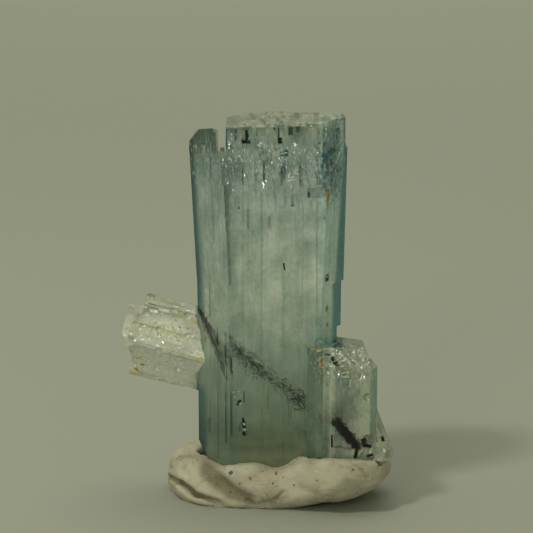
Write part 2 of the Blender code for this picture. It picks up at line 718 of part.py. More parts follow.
def tack_section(place):
    """The points of the tack's side and top at one place round it, foot first."""
    read = {
        name: round_curve([getattr(station, name) for station in TACK_STATIONS], place)
        for name in Station._fields
    }
    widest = Vector((read["x"], read["y"]))
    inward = (TACK_CENTRE - widest).normalized()
    foot = widest + inward * read["foot_in"]
    lip = widest + inward * read["lip_in"]
    points = [Vector((*foot, 0.0))]
    half = TACK_SIDE_RINGS // 2
    for ring in range(1, half + 1):
        angle = 0.5 * math.pi * ring / half
        flat = foot.lerp(widest, math.sin(angle))
        points.append(Vector((*flat, read["widest_z"] * (1.0 - math.cos(angle)))))
    for ring in range(1, TACK_SIDE_RINGS - half + 1):
        angle = 0.5 * math.pi * ring / (TACK_SIDE_RINGS - half)
        flat = widest.lerp(lip, 1.0 - math.cos(angle))
        rise = (read["lip_z"] - read["widest_z"]) * math.sin(angle)
        points.append(Vector((*flat, read["widest_z"] + rise)))
    for ring in range(1, TACK_TOP_RINGS):
        share = ring / TACK_TOP_RINGS
        flat = lip.lerp(TACK_CENTRE, share)
        points.append(Vector((*flat, read["lip_z"] - TACK_FLOOR_DIP * share)))
    return points, Vector((*inward, 0.0))


def tack_lump():
    """The lump before the crystals are pressed into it."""
    shape = bmesh.new()
    rings = []
    for number in range(TACK_AROUND):
        points, inward = tack_section(number / TACK_AROUND)
        column = []
        for height, point in enumerate(points):
            if height > 0:
                bump = noise.noise(point / TACK_LUMP_SIZE) * TACK_LUMPS
                point = point + inward * (pressed_in(point) - bump)
                point.z = max(point.z + 0.5 * bump, TACK_CLEARANCE)
            column.append(shape.verts.new(point))
        rings.append(column)
    centre_z = sum(column[-1].co.z for column in rings) / len(rings)
    top = shape.verts.new(Vector((*TACK_CENTRE, centre_z)))
    for number, column in enumerate(rings):
        after = rings[(number + 1) % len(rings)]
        for level in range(len(column) - 1):
            shape.faces.new((column[level], after[level], after[level + 1], column[level + 1]))
        shape.faces.new((column[-1], after[-1], top))
    shape.faces.new([column[0] for column in reversed(rings)])
    return shape


def grown_outline(outline, gap):
    """A convex outline, counter-clockwise, moved out by a gap."""
    moved = []
    count = len(outline)
    for number, corner in enumerate(outline):
        before = (corner - outline[number - 1]).normalized()
        after = (outline[(number + 1) % count] - corner).normalized()
        first = Vector((before.y, -before.x))
        second = Vector((after.y, -after.x))
        moved.append(corner + (first + second) * (gap / (1.0 + first.dot(second))))
    return moved


def socket_cutters():
    """The crystals' feet with the gap round them, which the tack grips."""
    step = SHAFT_STEPS[0]
    shaft = faceted(step.facets, step.foot, step.head, grow=GAP)
    bmesh.ops.translate(shaft, vec=(AXIS_X, 0.0, 0.0), verts=shaft.verts)
    yield make_object("shaft_socket", shaft)
    proudest = max(lath[-1] for lath in SHORT_LATHS)
    outline = grown_outline(SHORT_OUTLINE, GAP + proudest)
    yield make_object("short_socket", outline_block(
        outline, SHORT_FOOT_Z - GAP, SHORT_HEAD_Z / 2.0))
    wedge = faceted(wedge_faces(), 0.0, WEDGE_LENGTH, grow=GAP)
    bmesh.ops.transform(wedge, matrix=wedge_frame(), verts=wedge.verts)
    yield make_object("wedge_socket", wedge)
    rod = NEEDLES[1]
    past_the_end = rod.outer + (rod.outer - rod.inner).normalized() * BORE_RUN_OUT
    yield make_object("rod_clearance", rod_shape(
        past_the_end, rod.inner, rod.radius + GAP, BORE_SIDES))


def build_tack():
    """The lump of tack with the socket that grips the crystals."""
    surface = material("mineral_tack", (0.30, 0.28, 0.21), 0.75)
    tack = make_object("mineral_tack", tack_lump(), surface)
    combine(tack, socket_cutters(), "DIFFERENCE")
    tidy_mesh(tack)
    tack.data.materials.clear()
    tack.data.materials.append(surface)
    for face in tack.data.polygons:
        face.use_smooth = True
    return tack


def centre_on_foot(pieces):
    """Move the pieces so that the origin is under the middle of them, at the foot."""
    corners = [vertex.co for piece in pieces for vertex in piece.data.vertices]
    low = Vector(min(corner[axis] for corner in corners) for axis in range(3))
    high = Vector(max(corner[axis] for corner in corners) for axis in range(3))
    middle = (low + high) / 2.0
    for piece in pieces:
        piece.data.transform(Matrix.Translation((-middle.x, -middle.y, -low.z)))


def main():
    """Build every piece."""
    clear_scene()
    pieces = [build_aquamarine(), *build_schorl(), build_tack()]
    centre_on_foot(pieces)


main()
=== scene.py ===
"""
Looks of an aquamarine crystal group in a lump of mineral tack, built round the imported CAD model.

Lengths in the tables are millimetres: +Z is up and -Y faces the viewer. The tables use the axes
that the crystals were drawn in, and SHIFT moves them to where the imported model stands.
"""
import math
from types import SimpleNamespace

import bmesh
import bpy
from mathutils import Matrix, Vector, noise
from mathutils.bvhtree import BVHTree


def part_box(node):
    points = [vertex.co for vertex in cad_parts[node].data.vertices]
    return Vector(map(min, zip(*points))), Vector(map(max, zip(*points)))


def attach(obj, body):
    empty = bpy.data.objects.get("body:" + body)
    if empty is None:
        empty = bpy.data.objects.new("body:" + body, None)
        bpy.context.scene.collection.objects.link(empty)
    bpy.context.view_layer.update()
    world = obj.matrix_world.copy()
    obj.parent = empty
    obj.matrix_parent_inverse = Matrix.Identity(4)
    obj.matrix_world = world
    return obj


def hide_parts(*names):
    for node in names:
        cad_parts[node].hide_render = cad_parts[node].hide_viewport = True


bl_info = {
    "name": "Aquamarine crystal group",
    "version": (1, 0, 0),
    "blender": (4, 5, 0),
    "location": "3D View > Sidebar > Crystal",
    "description": "Aquamarine with schorl in a lump of mineral tack, and its plain stage",
    "category": "Object",
}

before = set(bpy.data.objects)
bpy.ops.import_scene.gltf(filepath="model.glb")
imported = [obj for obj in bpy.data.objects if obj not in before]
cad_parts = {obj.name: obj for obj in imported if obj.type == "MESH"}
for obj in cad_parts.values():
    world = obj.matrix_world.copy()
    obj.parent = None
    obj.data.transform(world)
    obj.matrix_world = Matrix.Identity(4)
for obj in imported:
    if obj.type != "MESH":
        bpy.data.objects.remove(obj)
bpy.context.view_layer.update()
MM = 0.001
BODY = "root"
DOUBLES = 2e-6            # corners nearer than this, in metres, are one corner
MATH = "ShaderNodeMath"
VECTOR_MATH = "ShaderNodeVectorMath"
RANGE = "ShaderNodeMapRange"
MIX = "ShaderNodeMix"
NOISE = "ShaderNodeTexNoise"
PATTERN_STEP = 977.0      # keeps the random draws of one row of pieces apart from the next row's

# The schorls: outer end, inner end and radius, and the gap round each in the CAD solid
NEEDLE = (Vector((-7.80, 0.60, 23.90)), Vector((6.30, -4.90, 11.40)), 0.45)
ROD = (Vector((12.30, -9.80, 7.60)), Vector((9.30, -7.40, 12.00)), 0.70)
GAP = 0.3
LEAST_ACROSS = 0.45       # a face turned further away than this widens its marks no more,
LEAST_UP = 0.95           # and one that leans more than this lengthens them no more


def find_shift():
    """From the tables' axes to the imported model's, in metres, read off the schorl needle."""
    low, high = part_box("schorl_needle")
    return (low + high) / 2.0 - (NEEDLE[0] + NEEDLE[1]) / 2.0 * MM


SHIFT = find_shift()


def place(point):
    """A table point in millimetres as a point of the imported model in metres."""
    return Vector(point) * MM + SHIFT


def linear(code):
    """An sRGB hex colour as linear red, green and blue."""
    shares = [int(code[n:n + 2], 16) / 255.0 for n in (0, 2, 4)]
    return tuple(s / 12.92 if s <= 0.04045 else ((s + 0.055) / 1.055) ** 2.4 for s in shares)


def colour(name, description, code):
    """A colour that a user may change."""
    return bpy.props.FloatVectorProperty(
        name=name, description=description, default=linear(code), subtype="COLOR", size=3,
        min=0.0, max=1.0)


def length(name, description, millimetres):
    """A length that a user may change."""
    return bpy.props.FloatProperty(
        name=name, description=description, default=millimetres * MM, subtype="DISTANCE",
        unit="LENGTH", min=0.0)


def share(name, description, default, highest=1.0):
    """A plain number that a user may change."""
    return bpy.props.FloatProperty(
        name=name, description=description, default=default, min=0.0, max=highest)


def plug(tree, made, inputs):
    """Link or set a node's inputs, given by name or in the order of its sockets."""
    for name, value in inputs.items() if isinstance(inputs, dict) else enumerate(inputs):
        socket = made.inputs[name]
        if isinstance(value, bpy.types.NodeSocket):
            tree.links.new(value, socket)
        else:
            socket.default_value = value


def node(tree, kind, inputs=(), output=0, **settings):
    """Add a node with its settings and links, and give back one of its outputs, or itself."""
    made = tree.nodes.new(kind)
    for name, value in settings.items():
        setattr(made, name, value)
    plug(tree, made, inputs)
    return made if output is None else made.outputs[output]


def new_material(name):
    """An empty node material, its tree and shader, and a point's place on the piece."""
    made = bpy.data.materials.new(name)
    made.use_nodes = True
    tree = made.node_tree
    tree.nodes.clear()
    shader = node(tree, "ShaderNodeBsdfPrincipled", output=None)
    node(tree, "ShaderNodeOutputMaterial", {"Surface": shader.outputs[0]}, None)
    return made, tree, shader, node(tree, "ShaderNodeTexCoord", output="Object")


def mottled_material(name, colours, grain, tint, polish, relief, stretch=(1.0, 1.0, 1.0),
                     metallic=0.0):
    """
    A material in two colours spread in patches. The grain is the patches to a millimetre and
    their detail, tint and polish are the ranges of the mixture and the roughness, and relief is
    the bump's strength and its height in millimetres.
    """
    made, tree, shader, where = new_material(name)
    drawn = node(tree, VECTOR_MATH, (where, stretch), operation="MULTIPLY")
    patches = node(tree, NOISE, {"Vector": drawn, "Scale": grain[0] / MM, "Detail": grain[1]})
    mixed = node(tree, RANGE, (patches, *tint))
    base = node(tree, MIX, {0: mixed, 6: rgba(colours[0]), 7: rgba(colours[1])}, 2,
                data_type="RGBA")
    rough = node(tree, RANGE, (patches, 0.3, 0.7, *polish))
    bump = node(tree, "ShaderNodeBump", {
        "Height": patches, "Strength": relief[0], "Distance": relief[1] * MM})
    plug(tree, shader, {
        "Base Color": base, "Metallic": metallic, "Roughness": rough, "Normal": bump})
    return made


def rgba(value):
    """Colour and full alpha."""
    return (*value, 1.0)


def new_tree(name, sockets):
    """An empty Geometry Nodes tree with named inputs, and its input node's outputs."""
    tree = bpy.data.node_groups.new(name, "GeometryNodeTree")
    for label, kind in sockets:
        tree.interface.new_socket(label, in_out="INPUT", socket_type="NodeSocket" + kind)
    tree.interface.new_socket("Geometry", in_out="OUTPUT", socket_type="NodeSocketGeometry")
    return tree, node(tree, "NodeGroupInput", output=None).outputs


def end_tree(tree, geometry, surface):
    """Realize a tree's instances and give them their material."""
    realized = node(tree, "GeometryNodeRealizeInstances", {"Geometry": geometry})
    surfaced = node(tree, "GeometryNodeSetMaterial", {"Geometry": realized, "Material": surface})
    node(tree, "NodeGroupOutput", {"Geometry": surfaced}, output=None)


def add_object(name, data):
    """A new object in the scene."""
    made = bpy.data.objects.new(name, data)
    bpy.context.scene.collection.objects.link(made)
    return made


def applied(made):
    """An object's mesh with its modifiers applied, which are taken off it."""
    depsgraph = bpy.context.evaluated_depsgraph_get()
    mesh = bpy.data.meshes.new_from_object(made.evaluated_get(depsgraph))
    made.modifiers.clear()
    return mesh


def shape_of(mesh):
    """A mesh as a bmesh."""
    shape = bmesh.new()
    shape.from_mesh(mesh)
    return shape


def mesh_of(name, shape):
    """A bmesh as a mesh."""
    mesh = bpy.data.meshes.new(name)
    shape.to_mesh(mesh)
    shape.free()
    return mesh


def link_mesh(name, shape, surface, smooth=False):
    """A bmesh as an object with one material."""
    mesh = mesh_of(name, shape)
    mesh.materials.append(surface)
    for face in mesh.polygons:
        face.use_smooth = smooth
    return add_object(name, mesh)


def rename(made, name):
    """Give an object and its mesh their name."""
    made.name = made.data.name = name


def finish_piece(made, replaced=()):
    """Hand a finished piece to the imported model's body."""
    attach(made, BODY)
    if replaced:
        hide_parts(*replaced)


def grow(name, tree, values, points=None):
    """Run a tree with its inputs, on a mesh of points or none, and keep a plain mesh."""
    made = add_object(name, points or bpy.data.meshes.new(name))
    modifier = made.modifiers.new("growth", "NODES")
    modifier.node_group = tree
    for item in tree.interface.items_tree:
        if item.in_out == "INPUT" and item.name in values:
            modifier[item.identifier] = values[item.name]
    made.data = applied(made)
    return made


def spray_tree():
    """Rods with flat ends, strewn along a line inside a body: needles, tubes, flakes or specks."""
    tree, given = new_tree("spray", [
        ("Start", "Vector"), ("End", "Vector"), ("Start spread", "Vector"),
        ("End spread", "Vector"), ("Count", "Int"), ("Run", "Vector"), ("Wander", "Float"),
        ("Shortest", "Float"), ("Longest", "Float"), ("Thinnest", "Float"),
        ("Thickest", "Float"), ("Sides", "Int"), ("Clearance", "Float"), ("Pattern", "Int"),
        ("Body", "Object"), ("Surface", "Material")])
    index = node(tree, "GeometryNodeInputIndex")
    ids = node(tree, MATH, (given["Pattern"], PATTERN_STEP, index), operation="MULTIPLY_ADD")
    ranges = ((0.0, 1.0), (given["Shortest"], given["Longest"]),
              (given["Thinnest"], given["Thickest"]))
    travel, tall, thick = (
        node(tree, "FunctionNodeRandomValue", {2: low, 3: high, "ID": ids, "Seed": seed}, 1,
             data_type="FLOAT")
        for seed, (low, high) in enumerate(ranges))
    aside, astray = (
        node(tree, "FunctionNodeRandomValue", {
            0: (-1.0, -1.0, -1.0), 1: (1.0, 1.0, 1.0), "ID": ids, "Seed": seed}, 0,
            data_type="FLOAT_VECTOR")
        for seed in (7, 8))
    centre = node(tree, MIX, {0: travel, 4: given["Start"], 5: given["End"]}, 1,
                  data_type="VECTOR")
    reach = node(tree, MIX, {
        0: travel, 4: given["Start spread"], 5: given["End spread"]}, 1, data_type="VECTOR")
    at = node(tree, VECTOR_MATH, (aside, reach, centre), operation="MULTIPLY_ADD")
    wander = node(tree, VECTOR_MATH, {0: astray, "Scale": given["Wander"]}, operation="SCALE")
    forward = node(tree, VECTOR_MATH, (given["Run"],), operation="NORMALIZE")
    slant = node(tree, VECTOR_MATH, (forward, wander), operation="ADD")
    run = node(tree, VECTOR_MATH, (slant,), operation="NORMALIZE")
    row = node(tree, "GeometryNodeMeshLine", {"Count": given["Count"]})
    points = node(tree, "GeometryNodeSetPosition", {"Geometry": row, "Position": at})
    body = node(tree, "GeometryNodeObjectInfo", {"Object": given["Body"]}, "Geometry")
    normal = node(tree, "GeometryNodeInputNormal")
    place_now = node(tree, "GeometryNodeInputPosition")
    strays = []
    for end in (-0.5, 0.5):
        half = node(tree, MATH, (tall, end), operation="MULTIPLY")
        offset = node(tree, VECTOR_MATH, {0: run, "Scale": half}, operation="SCALE")
        tip = node(tree, VECTOR_MATH, (at, offset), operation="ADD")
        outward = node(tree, "GeometryNodeSampleNearestSurface", {
            "Mesh": body, "Value": normal, "Sample Position": tip}, data_type="FLOAT_VECTOR")
        nearest = node(tree, "GeometryNodeSampleNearestSurface", {
            "Mesh": body, "Value": place_now, "Sample Position": tip}, data_type="FLOAT_VECTOR")
        inward = node(tree, VECTOR_MATH, (nearest, tip), operation="SUBTRACT")
        depth = node(tree, VECTOR_MATH, (inward, outward), "Value", operation="DOT_PRODUCT")
        strays.append(node(tree, MATH, (depth, given["Clearance"]), operation="LESS_THAN"))
    astray_at_all = node(tree, MATH, strays, operation="MAXIMUM")
    turned = node(tree, "FunctionNodeAlignRotationToVector", {"Vector": run}, axis="Z")
    size = node(tree, "ShaderNodeCombineXYZ", (thick, thick, tall))
    rod = node(tree, "GeometryNodeMeshCylinder",
               {"Vertices": given["Sides"], "Radius": 1.0, "Depth": 1.0})
    kept = node(tree, MATH, (1.0, astray_at_all), operation="SUBTRACT")
    rods = node(tree, "GeometryNodeInstanceOnPoints", {
        "Points": points, "Selection": kept, "Instance": rod, "Rotation": turned, "Scale": size})
    end_tree(tree, rods, given["Surface"])
    return tree


def blocks_tree():
    """Uneven blocks at given points, each with its own size and turn."""
    tree, given = new_tree("blocks", [
        ("Points", "Geometry"), ("Cuts", "Int"), ("Unevenness", "Float"), ("Grain", "Float"),
        ("Surface", "Material")])
    size = node(tree, "GeometryNodeInputNamedAttribute", {"Name": "size"},
                data_type="FLOAT_VECTOR")
    turn = node(tree, "GeometryNodeInputNamedAttribute", {"Name": "turn"},
                data_type="FLOAT_VECTOR")
    cube = node(tree, "GeometryNodeMeshCube",
                {"Vertices X": given["Cuts"], "Vertices Y": 2, "Vertices Z": given["Cuts"]})
    placed = node(tree, "GeometryNodeInstanceOnPoints",
                  {"Points": given["Points"], "Instance": cube, "Rotation": turn, "Scale": size})
    plain = node(tree, "GeometryNodeRealizeInstances", {"Geometry": placed})
    wear = node(tree, NOISE, {"Scale": given["Grain"], "Detail": 3.0}, 1)
    centred = node(tree, VECTOR_MATH, (wear, (0.5, 0.5, 0.5)), operation="SUBTRACT")
    moved = node(tree, VECTOR_MATH, {0: centred, "Scale": given["Unevenness"]}, operation="SCALE")
    worn = node(tree, "GeometryNodeSetPosition", {"Geometry": plain, "Offset": moved})
    end_tree(tree, worn, given["Surface"])
    return tree


class Sight:
    """The viewer's lines of sight on to a body, which marks are placed along."""

    def __init__(self, body):
        shape = shape_of(body.data)
        self.faces = BVHTree.FromBMesh(shape)
        shape.free()
        self.eye = camera_place(bpy.context.scene.stage)

    def seen_at(self, point, plane):
        """Table X and Z at which the viewer sees a point, on the plane of that table Y."""
        run = point - self.eye
        met = self.eye + run * ((place((0.0, plane, 0.0)).y - self.eye.y) / run.y)
        return Vector((met.x - SHIFT.x, met.z - SHIFT.z)) / MM

    def meet(self, plane, x, z):
        """Where the line of sight through a table point first meets the body."""
        run = (place((x, plane, z)) - self.eye).normalized()
        spot, normal = self.faces.ray_cast(self.eye, run)[:2]
        if spot is None:
            raise RuntimeError(f"nothing seen at x {x}, z {z}")
        return spot, normal

    def block(self, plane, left, right, foot, head, out, into, lean=0.0):
        """Centre, size and turn of a block on the face that is seen at a place."""
        spot, normal = self.meet(plane, (left + right) / 2.0, (foot + head) / 2.0)
        across = (Vector((1.0, 0.0, 0.0)) - normal * normal.x).normalized()
        up = normal.cross(across)
        turned = Matrix((across, -normal, up)).transposed()
        turned = turned @ Matrix.Rotation(-math.radians(lean), 3, "Y")
        wide = (right - left) / max(across.x, LEAST_ACROSS)
        tall = (head - foot) / max(up.z, LEAST_UP)
        centre = spot + normal * (out - into) / 2.0 * MM
        return centre, Vector((wide, out + into, tall)) * MM, Vector(turned.to_euler())


def blocks(sight, tree, rows, surface, unevenness=0.0, cuts=2, grain=2.5):
    """Blocks of one kind, placed by the viewer's sight."""
    placed = [sight.block(*row) for row in rows]
    mesh = bpy.data.meshes.new("block_points")
    spots, sizes, turns = zip(*placed)
    mesh.from_pydata(spots, [], [])
    for name, values in (("size", sizes), ("turn", turns)):
        attribute = mesh.attributes.new(name, "FLOAT_VECTOR", "POINT")
        attribute.data.foreach_set("vector", [number for value in values for number in value])
    return grow("blocks", tree, {
        "Cuts": cuts, "Unevenness": unevenness * MM, "Grain": grain / MM, "Surface": surface},
        mesh)


# Crystals

AXIS_X = 1.3              # the tall crystal's axis
TURN = 2.0                # its turn about that axis, in degrees

# Faces of the tall crystal that carry growth laths: compass direction the face looks in, its
# distance from the axis at the panel's foot and head, the panel's height range, and how far it
# reaches to either side of the face's middle line
PANELS = {
    "front": (270.0, 6.50, 6.50, 3.0, 43.8, -5.1, 6.7),
    "left_front_low": (210.0, 7.55, 7.60, 4.0, 22.0, -3.3, 3.4),
    "left_front_high": (210.0, 7.71, 8.45, 27.4, 43.7, -3.4, 3.6),
    "left_back_low": (150.0, 7.62, 7.62, 4.0, 22.0, -3.3, 3.2),
    "left_back_high": (150.0, 7.73, 8.43, 27.4, 43.7, -3.4, 3.2),
    "back": (90.0, 6.50, 6.50, 4.0, 44.0, -6.0, 6.0),
    "right_back_low": (30.0, 8.70, 8.80, 5.0, 21.5, -3.2, 2.4),
    "right_back_high": (30.0, 9.11, 9.49, 27.4, 43.6, -3.4, 2.4),
    "right_front_high": (330.0, 8.87, 9.35, 27.6, 43.4, -1.0, 2.4),
}
LATH_PITCH = 1.00         # between the growth laths of a face
FLATTER = 0.4             # relief of the left front face's laths, as a share of the others'

# The pale crystal on the left: its tilt, turn, seat, the distance of its sides, and the range
# along its axis and across a side that carries laths
LEFT_TILT = 15.0
LEFT_TURN = 20.0
LEFT_SEAT = Vector((-6.30, 2.40, 17.50))
LEFT_FACETS = (3.90, 4.45, 4.25, 3.65, 5.25, 3.85)
LEFT_PANEL = (1.2, 9.0, -1.9, 1.9)

# Hollows in the faces, as seen: plane of the numbers, left, right, foot, head, how far out of
# the face and how far into it the hollow goes, and its lean in degrees
TALL, SHORT, PALE = -6.5, -9.6, -3.0
HOLLOWS = (
    (TALL, -3.85, -2.40, 44.30, 46.85, 0.3, 0.35, 0.0),
    (TALL, -1.85, -0.92, 46.62, 46.98, 0.3, 0.30, 0.0),
    (TALL, -1.52, -1.10, 45.50, 46.66, 0.3, 0.30, 0.0),
    (TALL, -2.08, -0.78, 44.98, 45.52, 0.3, 0.30, 0.0),
    (TALL, -0.14, 1.06, 45.93, 46.90, 0.3, 0.25, 0.0),
    (TALL, 2.52, 3.02, 44.90, 45.72, 0.3, 0.30, 0.0),
    (TALL, 3.72, 4.38, 46.05, 47.00, 0.3, 0.25, 0.0),
    (TALL, 4.62, 5.22, 46.35, 47.10, 0.3, 0.25, 0.0),
    (TALL, 3.49, 4.46, 37.37, 38.60, 0.3, 0.12, 0.0),
    (TALL, 5.92, 7.60, 38.36, 39.22, 0.3, 0.30, 0.0),
    (TALL, 8.30, 8.80, 28.00, 28.96, 0.3, 0.25, 8.0),
    (TALL, 0.20, 1.10, 42.90, 44.10, 0.3, 0.15, 0.0),
    (TALL, 1.30, 1.75, 38.60, 41.80, 0.3, 0.12, 0.0),
    (SHORT, 9.02, 11.61, 7.90, 9.55, 0.3, 0.22, 0.0),
    (SHORT, 8.10, 8.75, 13.90, 15.90, 0.3, 0.15, 0.0),
)
# Laths that end as blunt steps on the front face
STEPS = (
    (TALL, 5.95, 7.25, 39.65, 46.90, 0.12, 0.4, 0.0),
    (TALL, -3.70, -2.15, 44.62, 44.86, 0.10, 0.3, 0.0),
    (TALL, -0.15, 2.76, 38.90, 39.10, 0.06, 0.3, 1.0),
    (TALL, 0.10, 2.40, 40.40, 40.55, 0.05, 0.3, -1.0),
    (TALL, 4.50, 4.66, 33.18, 38.36, 0.08, 0.3, 0.0),
)
# Shell-shaped chips, as seen: plane, X, Z, radius and depth
CHIPS = (
    (TALL, 8.9, 46.6, 2.6, 0.26), (TALL, 9.6, 45.4, 1.5, 0.22), (TALL, 9.9, 44.0, 0.9, 0.18),
    (TALL, 8.7, 43.2, 0.7, 0.14), (TALL, 9.4, 42.3, 0.6, 0.14), (TALL, 10.1, 41.0, 0.7, 0.12),
    (TALL, 8.5, 40.6, 0.4, 0.12), (TALL, 9.5, 38.7, 0.5, 0.10), (TALL, 2.9, 41.4, 0.35, 0.10),
    (TALL, 4.3, 40.9, 0.45, 0.14), (TALL, 4.9, 41.3, 0.35, 0.12), (TALL, -1.9, 43.1, 0.5, 0.12),
    (TALL, -3.0, 42.4, 0.6, 0.10), (TALL, 3.0, 43.7, 0.4, 0.12), (TALL, 8.6, 28.4, 0.5, 0.14),
    (TALL, -2.6, 47.0, 0.4, 0.12), (TALL, -0.5, 47.05, 0.5, 0.14), (TALL, 1.4, 47.1, 0.4, 0.12),
    (TALL, 3.3, 47.15, 0.5, 0.14), (TALL, 5.3, 47.2, 0.4, 0.12), (TALL, 6.5, 47.2, 0.6, 0.16),
    (TALL, -2.2, 12.8, 0.5, 0.16), (TALL, -1.7, 10.1, 0.5, 0.16), (TALL, -1.6, 8.9, 0.4, 0.14),
    (SHORT, 9.5, 18.7, 0.9, 0.22), (SHORT, 10.4, 18.9, 0.8, 0.20), (SHORT, 10.7, 16.9, 0.9, 0.18),
    (SHORT, 9.2, 19.8, 0.7, 0.18), (SHORT, 11.6, 19.5, 0.9, 0.20), (SHORT, 12.7, 17.0, 1.1, 0.20),
    (SHORT, 12.2, 18.3, 0.7, 0.16), (SHORT, 8.6, 17.6, 0.5, 0.12), (SHORT, 13.4, 14.3, 0.8, 0.16),
    (SHORT, 11.2, 15.6, 0.6, 0.10), (SHORT, 14.9, 8.9, 0.7, 0.14), (SHORT, 13.7, 7.4, 0.6, 0.14),
    (SHORT, 15.5, 7.6, 0.6, 0.14), (SHORT, 8.2, 20.3, 0.5, 0.14),
    (SHORT, 8.6, 20.7, 0.8, 0.26), (SHORT, 9.6, 20.9, 0.9, 0.24), (SHORT, 10.7, 20.6, 0.9, 0.26),
    (SHORT, 11.7, 20.8, 0.8, 0.26), (SHORT, 12.5, 20.3, 0.8, 0.24), (SHORT, 7.6, 20.6, 0.7, 0.20),
    (SHORT, 10.0, 19.7, 0.6, 0.16), (SHORT, 11.0, 18.3, 0.6, 0.14), (SHORT, 12.9, 18.9, 0.7, 0.18),
    (PALE, -16.3, 20.9, 1.1, 0.20), (PALE, -15.6, 19.6, 0.8, 0.18), (PALE, -15.9, 18.3, 1.0, 0.18),
    (PALE, -15.2, 21.9, 0.8, 0.20), (PALE, -14.2, 23.3, 0.8, 0.20), (PALE, -15.3, 16.6, 0.9, 0.18),
    (PALE, -13.0, 23.8, 0.6, 0.16), (PALE, -14.6, 18.9, 0.6, 0.12), (PALE, -12.3, 21.2, 0.5, 0.07),
    (PALE, -10.4, 23.6, 0.6, 0.16), (PALE, -8.6, 23.3, 0.6, 0.16), (PALE, -10.2, 18.8, 0.7, 0.12),
    (PALE, -9.9, 16.4, 0.7, 0.12), (PALE, -12.6, 16.3, 0.9, 0.14), (PALE, -13.6, 20.3, 0.7, 0.12),
    (PALE, -8.7, 20.4, 0.5, 0.07), (PALE, -12.4, 18.2, 0.5, 0.07), (PALE, -9.6, 14.5, 0.7, 0.12),
)

# Black tourmaline in and on the faces, in the same form as the hollows
BLACK_MARKS = (
    (TALL, -1.62, -1.00, 46.66, 46.92, -0.08, 0.40, -3.0),
    (TALL, -1.42, -1.12, 45.35, 46.75, -0.06, 0.40, 1.0),
    (TALL, -1.30, -1.00, 45.80, 46.20, 0.02, 0.30, 12.0),
    (TALL, -1.95, -1.30, 45.02, 45.42, -0.08, 0.40, -4.0),
    (TALL, -1.35, -0.85, 45.05, 45.32, -0.06, 0.40, 5.0),
    (TALL, -2.10, -1.80, 45.10, 45.30, -0.12, 0.30, 10.0),
    (TALL, 2.53, 2.65, 45.69, 46.95, 0.02, 0.30, 0.0),
    (TALL, 2.54, 2.92, 45.05, 45.68, -0.08, 0.40, 4.0),
    (TALL, 2.00, 2.20, 46.70, 46.95, 0.03, 0.20, 0.0),
    (TALL, 3.18, 3.36, 29.46, 30.33, 0.03, 0.30, 8.0),
    (TALL, -2.28, -2.12, 37.06, 37.22, 0.02, 0.20, 20.0),
    (TALL, 8.32, 8.74, 28.10, 28.85, -0.08, 0.40, 8.0),
    (TALL, -2.60, -2.10, 12.45, 12.70, 0.03, 0.30, 20.0),
    (TALL, -2.30, -2.00, 12.80, 13.15, 0.03, 0.30, -15.0),
    (TALL, -1.90, -1.60, 10.20, 10.81, 0.03, 0.30, 12.0),
    (TALL, -1.85, -1.45, 9.55, 9.80, 0.03, 0.30, -20.0),
    (TALL, -1.80, -1.50, 8.50, 9.10, 0.03, 0.30, 10.0),
    (SHORT, 9.00, 9.35, 18.85, 19.29, 0.04, 0.30, 10.0),
    (SHORT, 9.20, 9.75, 18.50, 18.70, 0.04, 0.30, 25.0),
    (SHORT, 9.45, 9.95, 18.16, 18.36, 0.04, 0.30, -20.0),
    (SHORT, 8.23, 8.84, 19.52, 19.66, 0.03, 0.20, 4.0),
    (SHORT, 12.80, 13.45, 8.00, 9.10, 0.05, 0.30, 20.0),
    (SHORT, 13.25, 13.95, 7.90, 8.30, 0.05, 0.30, -12.0),
    (SHORT, 15.20, 15.50, 8.70, 9.30, 0.03, 0.20, 15.0),
    (SHORT, 13.50, 14.20, 6.75, 7.05, 0.03, 0.20, 15.0),
    (SHORT, 9.00, 9.24, 7.90, 9.60, -0.15, 0.35, 0.0),
    (SHORT, 9.10, 10.20, 7.72, 7.98, -0.15, 0.35, 2.0),
    (SHORT, 10.00, 11.40, 7.66, 7.88, -0.15, 0.35, -2.0),
    (SHORT, 8.60, 9.20, 11.05, 11.65, -0.12, 0.30, -20.0),
    (SHORT, 8.85, 10.15, 11.00, 11.30, -0.12, 0.30, -38.0),
    (SHORT, 9.55, 11.05, 10.45, 10.90, 0.03, 0.40, -46.0),
    (SHORT, 9.40, 11.20, 10.00, 10.40, 0.03, 0.40, -53.0),
    (SHORT, 10.30, 11.80, 9.75, 10.20, 0.03, 0.40, -44.0),
    (SHORT, 10.25, 11.95, 9.25, 9.70, 0.03, 0.40, -50.0),
    (SHORT, 10.20, 11.60, 8.95, 9.35, 0.03, 0.40, -55.0),
    (SHORT, 11.10, 12.50, 8.60, 9.05, 0.03, 0.40, -48.0),
    (SHORT, 11.20, 12.60, 8.10, 8.45, 0.03, 0.40, -53.0),
    (SHORT, 11.95, 12.75, 7.75, 8.15, -0.05, 0.35, -40.0),
    (SHORT, 11.90, 12.30, 6.50, 7.90, 0.02, 0.30, -12.0),
)
